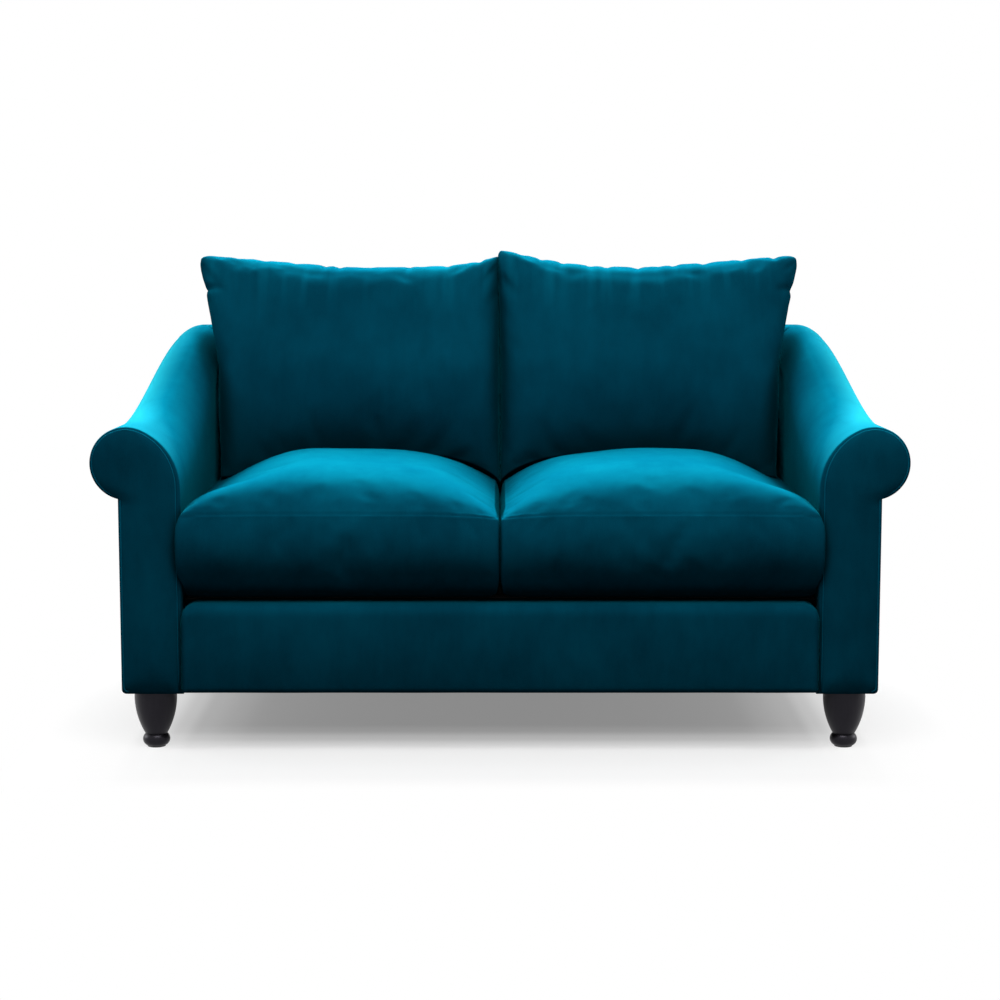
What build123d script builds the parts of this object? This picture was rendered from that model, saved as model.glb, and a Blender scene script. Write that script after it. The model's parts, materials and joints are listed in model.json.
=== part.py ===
from build123d import *
import os
from math import acos, asin, cos, pi, radians, sin, sqrt, tan

# Two-seat scroll-arm sofa with loose seat and back cushions, on four turned wooden legs.
# Millimetres. +Z is up, +X is to the right of someone facing the sofa, and the front faces -Y.
# The origin is on the floor, in the middle of the sofa's box.
# A "run" is a distance behind the plane of the two arm faces.

# Overall
OVERALL_WIDTH = 1600.0
ARM_LENGTH = 850.0
BACK_FRAME_DEPTH = 48.0
BACK_PANEL_THICK = 7.0
LEG_HEIGHT = 115.0
CUSHION_PROUD = 25.0

# Scroll arms
ARM_THICK = 122.0
ARM_FRONT_HEIGHT = 644.0
ARM_REAR_HEIGHT = 792.0
ARM_RISE_START = 147.0
SCROLL_RADIUS = 72.0
SCROLL_RADIUS_REAR = 65.0
SCROLL_OVERHANG = 54.0
SCROLL_OVERHANG_REAR = 1.5
SCROLL_TAPER_LEFT = 70.0
SHOULDER_ANGLE = 45.0
ARM_EDGE_ROLL = 9.0
ARM_LOFT_STEPS = 7
ARM_HEM_RADIUS = 9.0
ARM_INNER_PAD = 24.0
ARM_OUTER_PAD = 12.0
ARM_FRONT_PAD = 18.0
ARM_TOP_PAD = 95.0
FACING_THICK = 3.0
FACING_INSET = 15.0
PIPING_RADIUS = 2.5

# Timber frame
FRONT_POST_DEPTH = 45.0
ARM_TOP_RAIL_THICK = 32.0
BASE_RAIL_HEIGHT = 45.0
FRONT_RAIL_THICK = 30.0
REAR_RAIL_FROM_BACK = 80.0
REAR_SEAT_RAIL_DEPTH = 45.0
SEAT_RAIL_HEIGHT = 76.0
CENTRE_RAIL_WIDTH = 40.0
BACK_TOP_RAIL_HEIGHT = 75.0
BACK_BOTTOM_RAIL_HEIGHT = 75.0
ARM_PANEL_THICK = 3.0
CORNER_BLOCK_LEG = 70.0
CORNER_BLOCK_HEIGHT = 38.0

# Seat base
DECK_HEIGHT = 300.0
DECK_THICK = 22.0
DECK_SIDE_GAP = 0.5
SPRINGS_PER_SEAT = 3
SPRING_BENDS = 8
SPRING_WIRE = 4.0
SPRING_CROSS_RUN = 12.0
SPRING_END_MARGIN = 14.0
CLIP_WIDTH = 24.0
CLIP_DEPTH = 18.0
CLIP_THICK = 2.0
DUST_COVER_THICK = 2.0
BORDER_SETBACK = 12.0
BORDER_THICK = 33.0
BORDER_CORNER = 40.0
BORDER_ROLL = 12.0

# Back
BACK_LEAN = 10.0
BACK_PAD_THICK = 93.0
BACK_ROLL_HEIGHT = 58.0
BACK_BORDER_TOP_PAD = 17.0
BACK_EDGE_ROLL = 10.0
BACK_PANEL_INSET = 14.0
BACK_PANEL_EDGE = 3.0
STRAP_WIDTH = 60.0
STRAP_THICK = 3.0

# Legs
LEG_FROM_OUTER = 60.0
FRONT_LEG_RUN = 52.0
REAR_LEG_FROM_BACK = 50.0
LEG_TOP_RADIUS = 42.0
LEG_NECK_RADIUS = 21.5
LEG_NECK_HEIGHT = 26.0
LEG_RING_RADIUS = 27.0
LEG_FOOT_RADIUS = 20.5
LEG_SHOULDER_DROP = 12.0
LEG_TOP_TAPER = 1.0
LEG_BELLY = 5.5
GLIDE_THICK = 3.0
GLIDE_RADIUS = 18.0
BOLT_RADIUS = 5.0
BOLT_CLEARANCE = 0.1
BOLT_IN_LEG = 55.0
BOLT_STAND = 4.0
NUT_ROOM = 1.0
NUT_FLANGE_RADIUS = 12.0
NUT_FLANGE_THICK = 2.0
NUT_BARREL_RADIUS = 7.0
NUT_BARREL_LENGTH = 14.0

# Seat cushions
SEAT_SEAM_HEIGHT = 471.0
SEAT_CROWN = 87.0
SEAT_EDGE_CROWN = 14.0
SEAT_TUCK = 20.0
SEAT_FRONT_BULGE = 10.0
SEAT_END_DRAW = 14.0
CUSHION_GAP = 0.5
COVER_THICK = 5.0

# Back cushions
BACK_CUSHION_LEAN = 18.0
BACK_CUSHION_TOP = 957.0
BACK_CUSHION_DIP = 25.0
BACK_CUSHION_FRONT = 105.0
BACK_CUSHION_BASE = 160.0
BACK_CUSHION_EDGE_SHARE = 0.16
BACK_CUSHION_BASE_CLEAR = 49.0
BACK_CUSHION_OVERHANG = 49.0
BELLY_HEIGHT_SHARE = 0.42

# Planes and lines that several pieces share
Y_FACE = -(ARM_LENGTH + BACK_FRAME_DEPTH + BACK_PANEL_THICK - CUSHION_PROUD) / 2
X_OUTER = OVERALL_WIDTH / 2 - SCROLL_OVERHANG
X_INNER = X_OUTER - ARM_THICK
X_FRAME_IN = X_INNER + ARM_INNER_PAD
X_FRAME_OUT = X_OUTER - ARM_OUTER_PAD
LEG_X = X_OUTER - LEG_FROM_OUTER
Z_BASE = LEG_HEIGHT
Z_RAIL_BOTTOM = Z_BASE + DUST_COVER_THICK
Z_WIRE = DECK_HEIGHT - DECK_THICK - SPRING_WIRE / 2
Z_RAIL_TOP = Z_WIRE - SPRING_WIRE / 2 - CLIP_THICK
Z_BASE_RAIL_TOP = Z_BASE + BASE_RAIL_HEIGHT
Z_FRAME_TOP = ARM_REAR_HEIGHT - BACK_BORDER_TOP_PAD
Z_TOP_RAIL = Z_FRAME_TOP - BACK_TOP_RAIL_HEIGHT
FRONT_RAIL_RUN = BORDER_SETBACK + BORDER_THICK
FRONT_RAIL_END = FRONT_RAIL_RUN + FRONT_RAIL_THICK
FRONT_POST_END = ARM_FRONT_PAD + FRONT_POST_DEPTH
BACK_RUN = ARM_LENGTH
REAR_LEG_RUN = BACK_RUN - REAR_LEG_FROM_BACK
REAR_SEAT_RAIL_RUN = BACK_RUN - REAR_RAIL_FROM_BACK
BACK_END_RUN = ARM_LENGTH + BACK_FRAME_DEPTH
Z_POST_TOP = ARM_REAR_HEIGHT - SCROLL_RADIUS_REAR

# How far a cut runs past the face that it opens
CUT_PAST = 1.0


def at(run):
    """Y of a plane that lies a run behind the arm faces."""
    return Y_FACE + run


def block(x_span, run_span, z_span):
    """A straight timber or sheet between two corners."""
    size = [high - low for low, high in (x_span, run_span, z_span)]
    middle = [(low + high) / 2 for low, high in (x_span, run_span, z_span)]
    return Pos(middle[0], at(middle[1]), middle[2]) * Box(*size)


def across(face, x_span):
    """Extrude a face drawn in the YZ plane from one X to another."""
    return Pos(x_span[0], 0, 0) * extrude(face, x_span[1] - x_span[0], dir=(1, 0, 0))


def outline(edges):
    """A flat face inside a closed chain of edges."""
    return Face(Wire(edges))


def corner_arc(centre, radius, way, y):
    """Quarter-round corner in an XZ plane: way is the corner's (X, Z) direction from the arc's centre."""
    middle = radius * sqrt(0.5)
    return ThreePointArc(
        (centre[0] + way[0] * radius, y, centre[1]),
        (centre[0] + way[0] * middle, y, centre[1] + way[1] * middle),
        (centre[0], y, centre[1] + way[1] * radius),
    )


def arch(half, bottom, top, radius, y):
    """Upright face in an XZ plane, symmetric about the middle, with two rounded top corners."""
    shoulder = top - radius
    return outline([
        Line((-half, y, bottom), (-half, y, shoulder)),
        corner_arc((-half + radius, shoulder), radius, (-1, 1), y),
        Line((-half + radius, y, top), (half - radius, y, top)),
        corner_arc((half - radius, shoulder), radius, (1, 1), y),
        Line((half, y, shoulder), (half, y, bottom)),
        Line((half, y, bottom), (-half, y, bottom)),
    ])


def mirrored(shape):
    """The left-hand twin of a right-hand piece."""
    return mirror(shape, about=Plane.YZ)


# Scroll arm


def arm_rise(run):
    """Share of the arm's rise reached at a run: level in front, an S up to the back."""
    share = min(1.0, max(0.0, (run - ARM_RISE_START) / (ARM_LENGTH - ARM_RISE_START)))
    return share * share * (3 - 2 * share)


def arm_section(run, inset=0.0, plane_run=None):
    """Edges of the right arm's cross section, drawn in by an inset, from the inner hem round the scroll."""
    taper = min(1.0, (run - ARM_EDGE_ROLL) / (ARM_LENGTH - SCROLL_TAPER_LEFT - ARM_EDGE_ROLL))
    overhang = SCROLL_OVERHANG + (SCROLL_OVERHANG_REAR - SCROLL_OVERHANG) * taper
    full_radius = SCROLL_RADIUS + (SCROLL_RADIUS_REAR - SCROLL_RADIUS) * run / ARM_LENGTH
    top = ARM_FRONT_HEIGHT + (ARM_REAR_HEIGHT - ARM_FRONT_HEIGHT) * arm_rise(run)
    centre_x = X_OUTER + overhang - full_radius
    centre_z = top - full_radius
    turn = radians(SHOULDER_ANGLE)
    reach = centre_x - X_INNER
    full_shoulder = (reach - full_radius * cos(turn)) / (1 - cos(turn))
    shoulder_x = centre_x + (full_shoulder - full_radius) * cos(turn)
    shoulder_z = centre_z - (full_shoulder - full_radius) * sin(turn)
    radius = full_radius - inset
    shoulder = full_shoulder - inset
    inner = X_INNER + inset
    outer = X_OUTER - inset
    bottom = Z_BASE + inset
    hem = ARM_HEM_RADIUS
    tuck = acos((outer - centre_x) / radius)
    y = at(run if plane_run is None else plane_run)

    def on_scroll(angle):
        return (centre_x + radius * cos(angle), y, centre_z + radius * sin(angle))

    def on_shoulder(angle):
        return (shoulder_x - shoulder * cos(angle), y, shoulder_z + shoulder * sin(angle))

    under_scroll = on_scroll(-tuck)
    return [
        Line((inner, y, bottom), (inner, y, shoulder_z)),
        ThreePointArc((inner, y, shoulder_z), on_shoulder(turn / 2), on_shoulder(turn)),
        ThreePointArc(on_scroll(pi - turn), on_scroll((pi - turn) / 2), on_scroll(0)),
        ThreePointArc(on_scroll(0), on_scroll(-tuck / 2), under_scroll),
        Line(under_scroll, (outer, y, bottom + hem)),
        corner_arc((outer - hem, bottom + hem), hem, (1, -1), y),
        Line((outer - hem, y, bottom), (inner, y, bottom)),
    ]


def arm_region(drop):
    """YZ face under a line that follows the arm's top at a drop below it."""
    front = ARM_FRONT_HEIGHT - drop
    rear = ARM_REAR_HEIGHT - drop
    third = (ARM_LENGTH - ARM_RISE_START) / 3
    start = (0, at(ARM_FRONT_PAD), front)
    level_end = (0, at(ARM_RISE_START), front)
    rise_end = (0, at(BACK_RUN), rear)
    return outline([
        Line(start, level_end),
        Bezier(level_end, (0, at(ARM_RISE_START + third), front), (0, at(BACK_RUN - third), rear), rise_end),
        Line(rise_end, (0, at(BACK_RUN), Z_BASE)),
        Line((0, at(BACK_RUN), Z_BASE), (0, at(ARM_FRONT_PAD), Z_BASE)),
        Line((0, at(ARM_FRONT_PAD), Z_BASE), start),
    ])


def arm_upholstery():
    """Padded cover of the right arm, hollow round its timbers and open below and behind."""
    step = (ARM_LENGTH - ARM_EDGE_ROLL) / ARM_LOFT_STEPS
    body = loft([outline(arm_section(ARM_EDGE_ROLL + step * i)) for i in range(ARM_LOFT_STEPS + 1)])
    half = ARM_EDGE_ROLL * (1 - sqrt(0.5))
    rings = [(0.0, ARM_EDGE_ROLL), (half, half), (ARM_EDGE_ROLL, 0.0)]
    for (run_a, inset_a), (run_b, inset_b) in zip(rings, rings[1:]):
        front = outline(arm_section(ARM_EDGE_ROLL, inset_a, run_a))
        behind = outline(arm_section(ARM_EDGE_ROLL, inset_b, run_b))
        body += loft([front, behind], ruled=True)
    body -= across(arm_region(ARM_TOP_PAD), (X_FRAME_IN, X_FRAME_OUT))
    rail_space = (Z_BASE - CUT_PAST, Z_RAIL_TOP)
    return body - block((X_INNER - CUT_PAST, X_FRAME_IN), (FRONT_RAIL_RUN, BACK_RUN), rail_space)


def arm_facing():
    """Flat cloth-covered panel on the arm's front."""
    face = outline(arm_section(ARM_EDGE_ROLL, FACING_INSET, 0.0))
    return extrude(face, FACING_THICK, dir=(0, -1, 0))


def arm_piping():
    """Fine cord round the facing: up the inner edge and round the scroll, then down the outer edge."""
    edges = arm_section(ARM_EDGE_ROLL, FACING_INSET - PIPING_RADIUS, -PIPING_RADIUS)
    path = Wire(edges[:4])
    start = Plane(origin=path @ 0, z_dir=(0, 0, 1))
    upper = sweep(start * Circle(PIPING_RADIUS), path=path)
    outer_line = edges[4]
    lower = sweep(Plane(origin=outer_line @ 1, z_dir=(0, 0, 1)) * Circle(PIPING_RADIUS),
                  path=Line(outer_line @ 1, outer_line @ 0))
    return upper + lower


def arm_timbers():
    """The right arm's frame, by node name."""
    zone = (X_FRAME_IN, X_FRAME_OUT)
    rail = across(arm_region(ARM_TOP_PAD), zone) - across(arm_region(ARM_TOP_PAD + ARM_TOP_RAIL_THICK), zone)
    below = across(arm_region(ARM_TOP_PAD + ARM_TOP_RAIL_THICK), zone)
    above_base = (Z_BASE_RAIL_TOP, ARM_REAR_HEIGHT)
    base = block(zone, (ARM_FRONT_PAD, BACK_RUN), (Z_BASE, Z_BASE_RAIL_TOP))
    for run in (FRONT_LEG_RUN, REAR_LEG_RUN):
        base -= leg_axis(run) * nut_hole()
    front_post = below & block(zone, (ARM_FRONT_PAD, FRONT_POST_END), above_base)
    front_post -= leg_axis(FRONT_LEG_RUN) * nut_recess()
    panel_zone = (X_FRAME_IN, X_FRAME_IN + ARM_PANEL_THICK)
    return {
        "arm_top_rail": rail,
        "arm_base_rail": base,
        "front_post": front_post,
        "arm_inner_panel": below & block(panel_zone, (FRONT_POST_END, BACK_RUN), above_base),
        "rear_post": block(zone, (BACK_RUN, BACK_END_RUN), (Z_BASE, Z_POST_TOP)),
    }


# Seat and back frame


def cross_timbers():
    """Rails that run from arm to arm, and the side boards of the seat."""
    full = (-X_FRAME_IN, X_FRAME_IN)
    between = (-X_INNER, X_INNER)
    rail_z = (Z_RAIL_TOP - SEAT_RAIL_HEIGHT, Z_RAIL_TOP)
    rear_run = (REAR_SEAT_RAIL_RUN, REAR_SEAT_RAIL_RUN + REAR_SEAT_RAIL_DEPTH)
    half_centre = CENTRE_RAIL_WIDTH / 2
    side = block((X_INNER, X_FRAME_IN), (FRONT_RAIL_END, BACK_RUN), (Z_RAIL_BOTTOM, Z_RAIL_TOP))
    back_run = (BACK_RUN, BACK_END_RUN)
    return {
        "front_rail": block(full, (FRONT_RAIL_RUN, FRONT_RAIL_END), (Z_RAIL_BOTTOM, Z_RAIL_TOP)),
        "rear_seat_rail": block(between, rear_run, rail_z),
        "centre_seat_rail": block((-half_centre, half_centre), (FRONT_RAIL_END, REAR_SEAT_RAIL_RUN), rail_z),
        "right_seat_side_rail": side,
        "left_seat_side_rail": mirrored(side),
        "back_top_rail": block(full, back_run, (Z_TOP_RAIL, Z_FRAME_TOP)),
        "back_bottom_rail": block(full, back_run, (Z_RAIL_BOTTOM, Z_RAIL_BOTTOM + BACK_BOTTOM_RAIL_HEIGHT)),
    }


def corner_blocks():
    """Three-cornered blocks glued into the seat frame's four corners."""
    top = Z_RAIL_TOP - SEAT_RAIL_HEIGHT + CORNER_BLOCK_HEIGHT

    def corner(run, way):
        y = at(run)
        points = [(X_INNER, y), (X_INNER - CORNER_BLOCK_LEG, y), (X_INNER, y + way * CORNER_BLOCK_LEG)]
        face = Face(Wire([Line(a, b) for a, b in zip(points, points[1:] + points[:1])]))
        return Pos(0, 0, top - CORNER_BLOCK_HEIGHT) * extrude(face, CORNER_BLOCK_HEIGHT, dir=(0, 0, 1))

    right = [corner(FRONT_RAIL_END, 1), corner(REAR_SEAT_RAIL_RUN, -1)]
    return Compound(right + [mirrored(one) for one in right])


def spring_places():
    """X of each spring, symmetric about the middle."""
    right = [X_INNER * (i + 0.5) / SPRINGS_PER_SEAT for i in range(SPRINGS_PER_SEAT)]
    return [-x for x in reversed(right)] + right


def spring_ends():
    """Runs of the first and last cross wire of every spring."""
    return FRONT_RAIL_END - SPRING_END_MARGIN, REAR_SEAT_RAIL_RUN + SPRING_END_MARGIN


def spring_edge(x, offset):
    """One side of a spring's wire, to the left of its middle line by an offset."""
    first, last = spring_ends()
    pitch = (last - first) / SPRING_BENDS
    half_run = SPRING_CROSS_RUN / 2
    edges = []
    for i in range(SPRING_BENDS + 1):
        side = 1 if i % 2 == 0 else -1
        y = at(first + pitch * i)
        bend_x = x + side * half_run
        line_y = y + side * offset
        edges.append(Line((x - side * half_run, line_y), (bend_x, line_y)))
        if i < SPRING_BENDS:
            crest = (bend_x + side * (pitch / 2 - side * offset), y + pitch / 2)
            edges.append(ThreePointArc((bend_x, line_y), crest, (bend_x, y + pitch - side * offset)))
    return edges


def serpentine_spring(x):
    """One level zigzag of wire: straight cross runs joined by half-round bends."""
    left = spring_edge(x, SPRING_WIRE / 2)
    right = spring_edge(x, -SPRING_WIRE / 2)
    ends = [Line(left[0] @ 0, right[0] @ 0), Line(left[-1] @ 1, right[-1] @ 1)]
    wire = extrude(outline(left + right + ends), SPRING_WIRE, dir=(0, 0, 1))
    return Pos(0, 0, Z_WIRE - SPRING_WIRE / 2) * wire


def spring_clips():
    """Steel clips on the rails under the ends of every spring, with a lip beyond the wire."""
    first, last = spring_ends()
    clips = []
    for x in spring_places():
        span = (x - CLIP_WIDTH / 2, x + CLIP_WIDTH / 2)
        for run, way in ((first, -1), (last, 1)):
            plate = (run - CLIP_DEPTH / 2, run + CLIP_DEPTH / 2)
            lip_run = run + way * (SPRING_WIRE / 2)
            lip = sorted((lip_run, lip_run + way * CLIP_THICK))
            foot = block(span, plate, (Z_RAIL_TOP, Z_RAIL_TOP + CLIP_THICK))
            clips.append(foot + block(span, lip, (Z_RAIL_TOP, Z_WIRE + SPRING_WIRE / 2)))
    return Compound([clip.solid() for clip in clips])


def strap_run(z):
    """Run of the webbing's front face at a height: a plane that leans with the back."""
    return BACK_RUN - (Z_TOP_RAIL - z) * tan(radians(BACK_LEAN))


def back_webbing():
    """Upright straps from the rear seat rail to the back's top rail, between the springs."""
    foot = strap_run(Z_RAIL_TOP)
    points = [
        (0, at(foot), Z_RAIL_TOP),
        (0, at(BACK_RUN), Z_TOP_RAIL),
        (0, at(BACK_RUN + STRAP_THICK), Z_TOP_RAIL),
        (0, at(foot + STRAP_THICK), Z_RAIL_TOP),
    ]
    face = outline([Line(a, b) for a, b in zip(points, points[1:] + points[:1])])
    springs = spring_places()
    places = [(a + b) / 2 for a, b in zip(springs, springs[1:])]
    half = STRAP_WIDTH / 2
    return Compound([across(face, (x - half, x + half)).solid() for x in places])


def seat_deck():
    """Felt and cloth platform over the springs, between the arms."""
    half = X_INNER - DECK_SIDE_GAP
    runs = (FRONT_RAIL_RUN, strap_run(Z_RAIL_TOP))
    return block((-half, half), runs, (DECK_HEIGHT - DECK_THICK, DECK_HEIGHT))


def dust_cover():
    """Thin cloth under the seat frame."""
    return block((-X_INNER, X_INNER), (FRONT_RAIL_RUN, BACK_RUN), (Z_BASE, Z_RAIL_BOTTOM))


def front_border():
    """Padded border below the seat cushions, with rounded top corners and a soft front edge."""
    face = arch(X_INNER, Z_BASE, DECK_HEIGHT - CUSHION_GAP, BORDER_CORNER, at(FRONT_RAIL_RUN))
    border = extrude(face, BORDER_THICK, dir=(0, -1, 0))
    return fillet(border.faces().sort_by(Axis.Y)[0].edges(), BORDER_ROLL)


# Back


def back_face_foot():
    """Run of the inside back's face at the deck."""
    return strap_run(DECK_HEIGHT) - BACK_PAD_THICK


def back_pad():
    """Inside back: a leaning pad between the arms with a rolled top edge."""
    lean = tan(radians(BACK_LEAN))
    roll_z = ARM_REAR_HEIGHT - BACK_ROLL_HEIGHT
    foot_run = back_face_foot()
    roll_run = foot_run + (roll_z - DECK_HEIGHT) * lean
    roll_depth = BACK_RUN - roll_run
    roll_radius = (roll_depth ** 2 + BACK_ROLL_HEIGHT ** 2) / (2 * BACK_ROLL_HEIGHT)
    half_turn = asin(roll_depth / roll_radius) / 2
    crest_z = ARM_REAR_HEIGHT - roll_radius * (1 - cos(half_turn))
    crest = (0, at(BACK_RUN - roll_radius * sin(half_turn)), crest_z)
    foot = (0, at(foot_run), DECK_HEIGHT)
    roll = (0, at(roll_run), roll_z)
    top = (0, at(BACK_RUN), ARM_REAR_HEIGHT)
    rail = (0, at(BACK_RUN), Z_TOP_RAIL)
    heel = (0, at(strap_run(DECK_HEIGHT)), DECK_HEIGHT)
    face = outline([
        Line(foot, roll),
        ThreePointArc(roll, crest, top),
        Line(top, rail),
        Line(rail, heel),
        Line(heel, foot),
    ])
    return across(face, (-X_INNER, X_INNER))


def back_outline(run, inset):
    """Outline of the back seen from behind, drawn in by an inset."""
    half = X_OUTER + SCROLL_OVERHANG_REAR - inset
    return arch(half, Z_BASE + inset, ARM_REAR_HEIGHT - inset, SCROLL_RADIUS_REAR - inset, at(run))


def back_border():
    """Padding that wraps the top and ends of the back frame."""
    slab = extrude(back_outline(BACK_RUN, 0.0), BACK_FRAME_DEPTH, dir=(0, 1, 0))
    rim = slab.faces().sort_by(Axis.Y)[-1].edges().sort_by(Axis.Z)[1:]
    slab = fillet(rim, BACK_EDGE_ROLL)
    runs = (BACK_RUN - CUT_PAST, BACK_END_RUN + CUT_PAST)
    slab -= block((-X_FRAME_OUT, X_FRAME_OUT), runs, (Z_BASE - CUT_PAST, Z_POST_TOP))
    return slab - block((-X_FRAME_IN, X_FRAME_IN), runs, (Z_BASE - CUT_PAST, Z_FRAME_TOP))


def outside_back_panel():
    """Flat cloth-covered panel that closes the back."""
    panel = extrude(back_outline(BACK_END_RUN, BACK_PANEL_INSET), BACK_PANEL_THICK, dir=(0, 1, 0))
    return fillet(panel.faces().sort_by(Axis.Y)[-1].edges(), BACK_PANEL_EDGE)


# Legs


def leg_axis(run):
    """Place of a right-hand leg on the floor."""
    return Pos(LEG_X, at(run), 0)


def upright(radius, z_span):
    """Round bar on the leg's axis."""
    return Pos(0, 0, z_span[0]) * extrude(Circle(radius), z_span[1] - z_span[0])


def nut_hole():
    """Hole through a base rail for the bolt, wider above for the nut's barrel."""
    bolt = upright(BOLT_RADIUS + BOLT_CLEARANCE, (Z_BASE - CUT_PAST, Z_BASE_RAIL_TOP + CUT_PAST))
    barrel_z = (Z_BASE_RAIL_TOP - NUT_BARREL_LENGTH, Z_BASE_RAIL_TOP + CUT_PAST)
    return bolt + upright(NUT_BARREL_RADIUS + BOLT_CLEARANCE, barrel_z)


def nut_recess():
    """Room in the foot of a post for the nut's flange and the end of the bolt."""
    top = Z_BASE_RAIL_TOP + NUT_FLANGE_THICK + BOLT_STAND + NUT_ROOM
    return upright(NUT_FLANGE_RADIUS + NUT_ROOM, (Z_BASE_RAIL_TOP - CUT_PAST, top))


def turned_leg():
    """Turned leg: ring foot, neck and urn body, with a bore for its bolt."""
    shoulder_z = Z_BASE - LEG_SHOULDER_DROP
    foot = (LEG_FOOT_RADIUS, 0, GLIDE_THICK)
    neck = (LEG_NECK_RADIUS, 0, LEG_NECK_HEIGHT)
    ring = (LEG_RING_RADIUS, 0, (GLIDE_THICK + LEG_NECK_HEIGHT) / 2)
    shoulder = (LEG_TOP_RADIUS, 0, shoulder_z)
    belly = ((neck[0] + shoulder[0]) / 2 + LEG_BELLY, 0, (neck[2] + shoulder_z) / 2)
    top_radius = LEG_TOP_RADIUS - LEG_TOP_TAPER
    profile = outline([
        Line((0, 0, GLIDE_THICK), foot),
        ThreePointArc(foot, ring, neck),
        ThreePointArc(neck, belly, shoulder),
        Line(shoulder, (top_radius, 0, Z_BASE)),
        Line((top_radius, 0, Z_BASE), (0, 0, Z_BASE)),
        Line((0, 0, Z_BASE), (0, 0, GLIDE_THICK)),
    ])
    bore = upright(BOLT_RADIUS + BOLT_CLEARANCE, (Z_BASE - BOLT_IN_LEG, Z_BASE + CUT_PAST))
    return revolve(profile, Axis.Z) - bore


def leg_bolt():
    """Bolt from the leg up through the base rail and its nut."""
    return upright(BOLT_RADIUS, (Z_BASE - BOLT_IN_LEG, Z_BASE_RAIL_TOP + NUT_FLANGE_THICK + BOLT_STAND))


def leg_nut():
    """Flanged nut let into the top of the base rail."""
    flange = upright(NUT_FLANGE_RADIUS, (Z_BASE_RAIL_TOP, Z_BASE_RAIL_TOP + NUT_FLANGE_THICK))
    barrel = upright(NUT_BARREL_RADIUS, (Z_BASE_RAIL_TOP - NUT_BARREL_LENGTH, Z_BASE_RAIL_TOP))
    hole = upright(BOLT_RADIUS + BOLT_CLEARANCE, (Z_BASE, Z_BASE_RAIL_TOP + NUT_FLANGE_THICK + CUT_PAST))
    return flange + barrel - hole


def four_legs(piece):
    """A piece repeated at the four legs, in the order front left, front right, rear left, rear right."""
    placed = []
    for run in (FRONT_LEG_RUN, REAR_LEG_RUN):
        right = leg_axis(run) * piece
        placed += [mirrored(right), right]
    return [one.solid() for one in placed]


# Loose cushions


def boxing_belly():
    """Drop from a seat cushion's seam to the fullest point of its boxed side, and that arc's radius."""
    height = SEAT_SEAM_HEIGHT - DECK_HEIGHT - CUSHION_GAP
    low_bulge = SEAT_FRONT_BULGE + SEAT_TUCK
    ratio = low_bulge / SEAT_FRONT_BULGE
    rest = height ** 2 + low_bulge ** 2 - ratio * SEAT_FRONT_BULGE ** 2
    drop = (sqrt(height ** 2 + (ratio - 1) * rest) - height) / (ratio - 1)
    return drop, (drop ** 2 + SEAT_FRONT_BULGE ** 2) / (2 * SEAT_FRONT_BULGE)


def seat_cushion_rear():
    """Run of a seat cushion's rear seam, whose bulging side just clears the leaning inside back."""
    lean = radians(BACK_LEAN)
    drop, radius = boxing_belly()
    rise = SEAT_SEAM_HEIGHT - drop - DECK_HEIGHT
    belly = back_face_foot() + radius - (radius + CUSHION_GAP - rise * sin(lean)) / cos(lean)
    return belly - SEAT_FRONT_BULGE


def seat_crown_profile():
    """Middle section's crown: run of its top, height of its top, half its chord and its arc's radius."""
    front = SEAT_FRONT_BULGE - CUSHION_PROUD
    rear = seat_cushion_rear()
    half_chord = (rear - front) / 2
    radius = (half_chord ** 2 + SEAT_CROWN ** 2) / (2 * SEAT_CROWN)
    return (front + rear) / 2, SEAT_SEAM_HEIGHT + SEAT_CROWN, half_chord, radius


def seat_cushion(skin):
    """Right seat cushion, drawn in by a skin: boxed sides, a crowned top and rounded ends."""
    x_low = CUSHION_GAP + skin
    x_high = X_INNER - CUSHION_GAP - skin
    bottom = DECK_HEIGHT + CUSHION_GAP + skin
    seam = SEAT_SEAM_HEIGHT - skin
    middle_run, _, half_chord, _ = seat_crown_profile()
    belly_share = boxing_belly()[0] / (SEAT_SEAM_HEIGHT - DECK_HEIGHT - CUSHION_GAP)

    def section(share):
        across_share = abs(2 * share - 1)
        draw = SEAT_END_DRAW * across_share ** 8 + skin
        crown = SEAT_EDGE_CROWN + (SEAT_CROWN - SEAT_EDGE_CROWN) * (1 - across_share ** 3)
        x = x_low + (x_high - x_low) * share
        front = middle_run - half_chord + draw
        rear = middle_run + half_chord - draw
        low = bottom + draw - skin
        high = seam - draw + skin
        belly_z = high - (high - low) * belly_share
        bottom_front = (x, at(front + SEAT_TUCK), low)
        bottom_rear = (x, at(rear - SEAT_TUCK), low)
        seam_front = (x, at(front), high)
        seam_rear = (x, at(rear), high)
        return outline([
            ThreePointArc(bottom_front, (x, at(front - SEAT_FRONT_BULGE), belly_z), seam_front),
            ThreePointArc(seam_front, (x, at(middle_run), high + crown), seam_rear),
            ThreePointArc(seam_rear, (x, at(rear + SEAT_FRONT_BULGE), belly_z), bottom_rear),
            Line(bottom_rear, bottom_front),
        ])

    return loft([section(share) for share in (0.0, 0.05, 0.2, 0.5, 0.8, 0.95, 1.0)])


def back_cushion_base():
    """Run and height of the back cushion's base line: on the plane that touches the seat's crown."""
    lean = radians(BACK_CUSHION_LEAN)
    middle, top, _, radius = seat_crown_profile()
    touch_run = middle + radius * sin(lean)
    touch_z = top - radius * (1 - cos(lean))
    return touch_run + CUSHION_GAP * sin(lean), touch_z + CUSHION_GAP * cos(lean)


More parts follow.
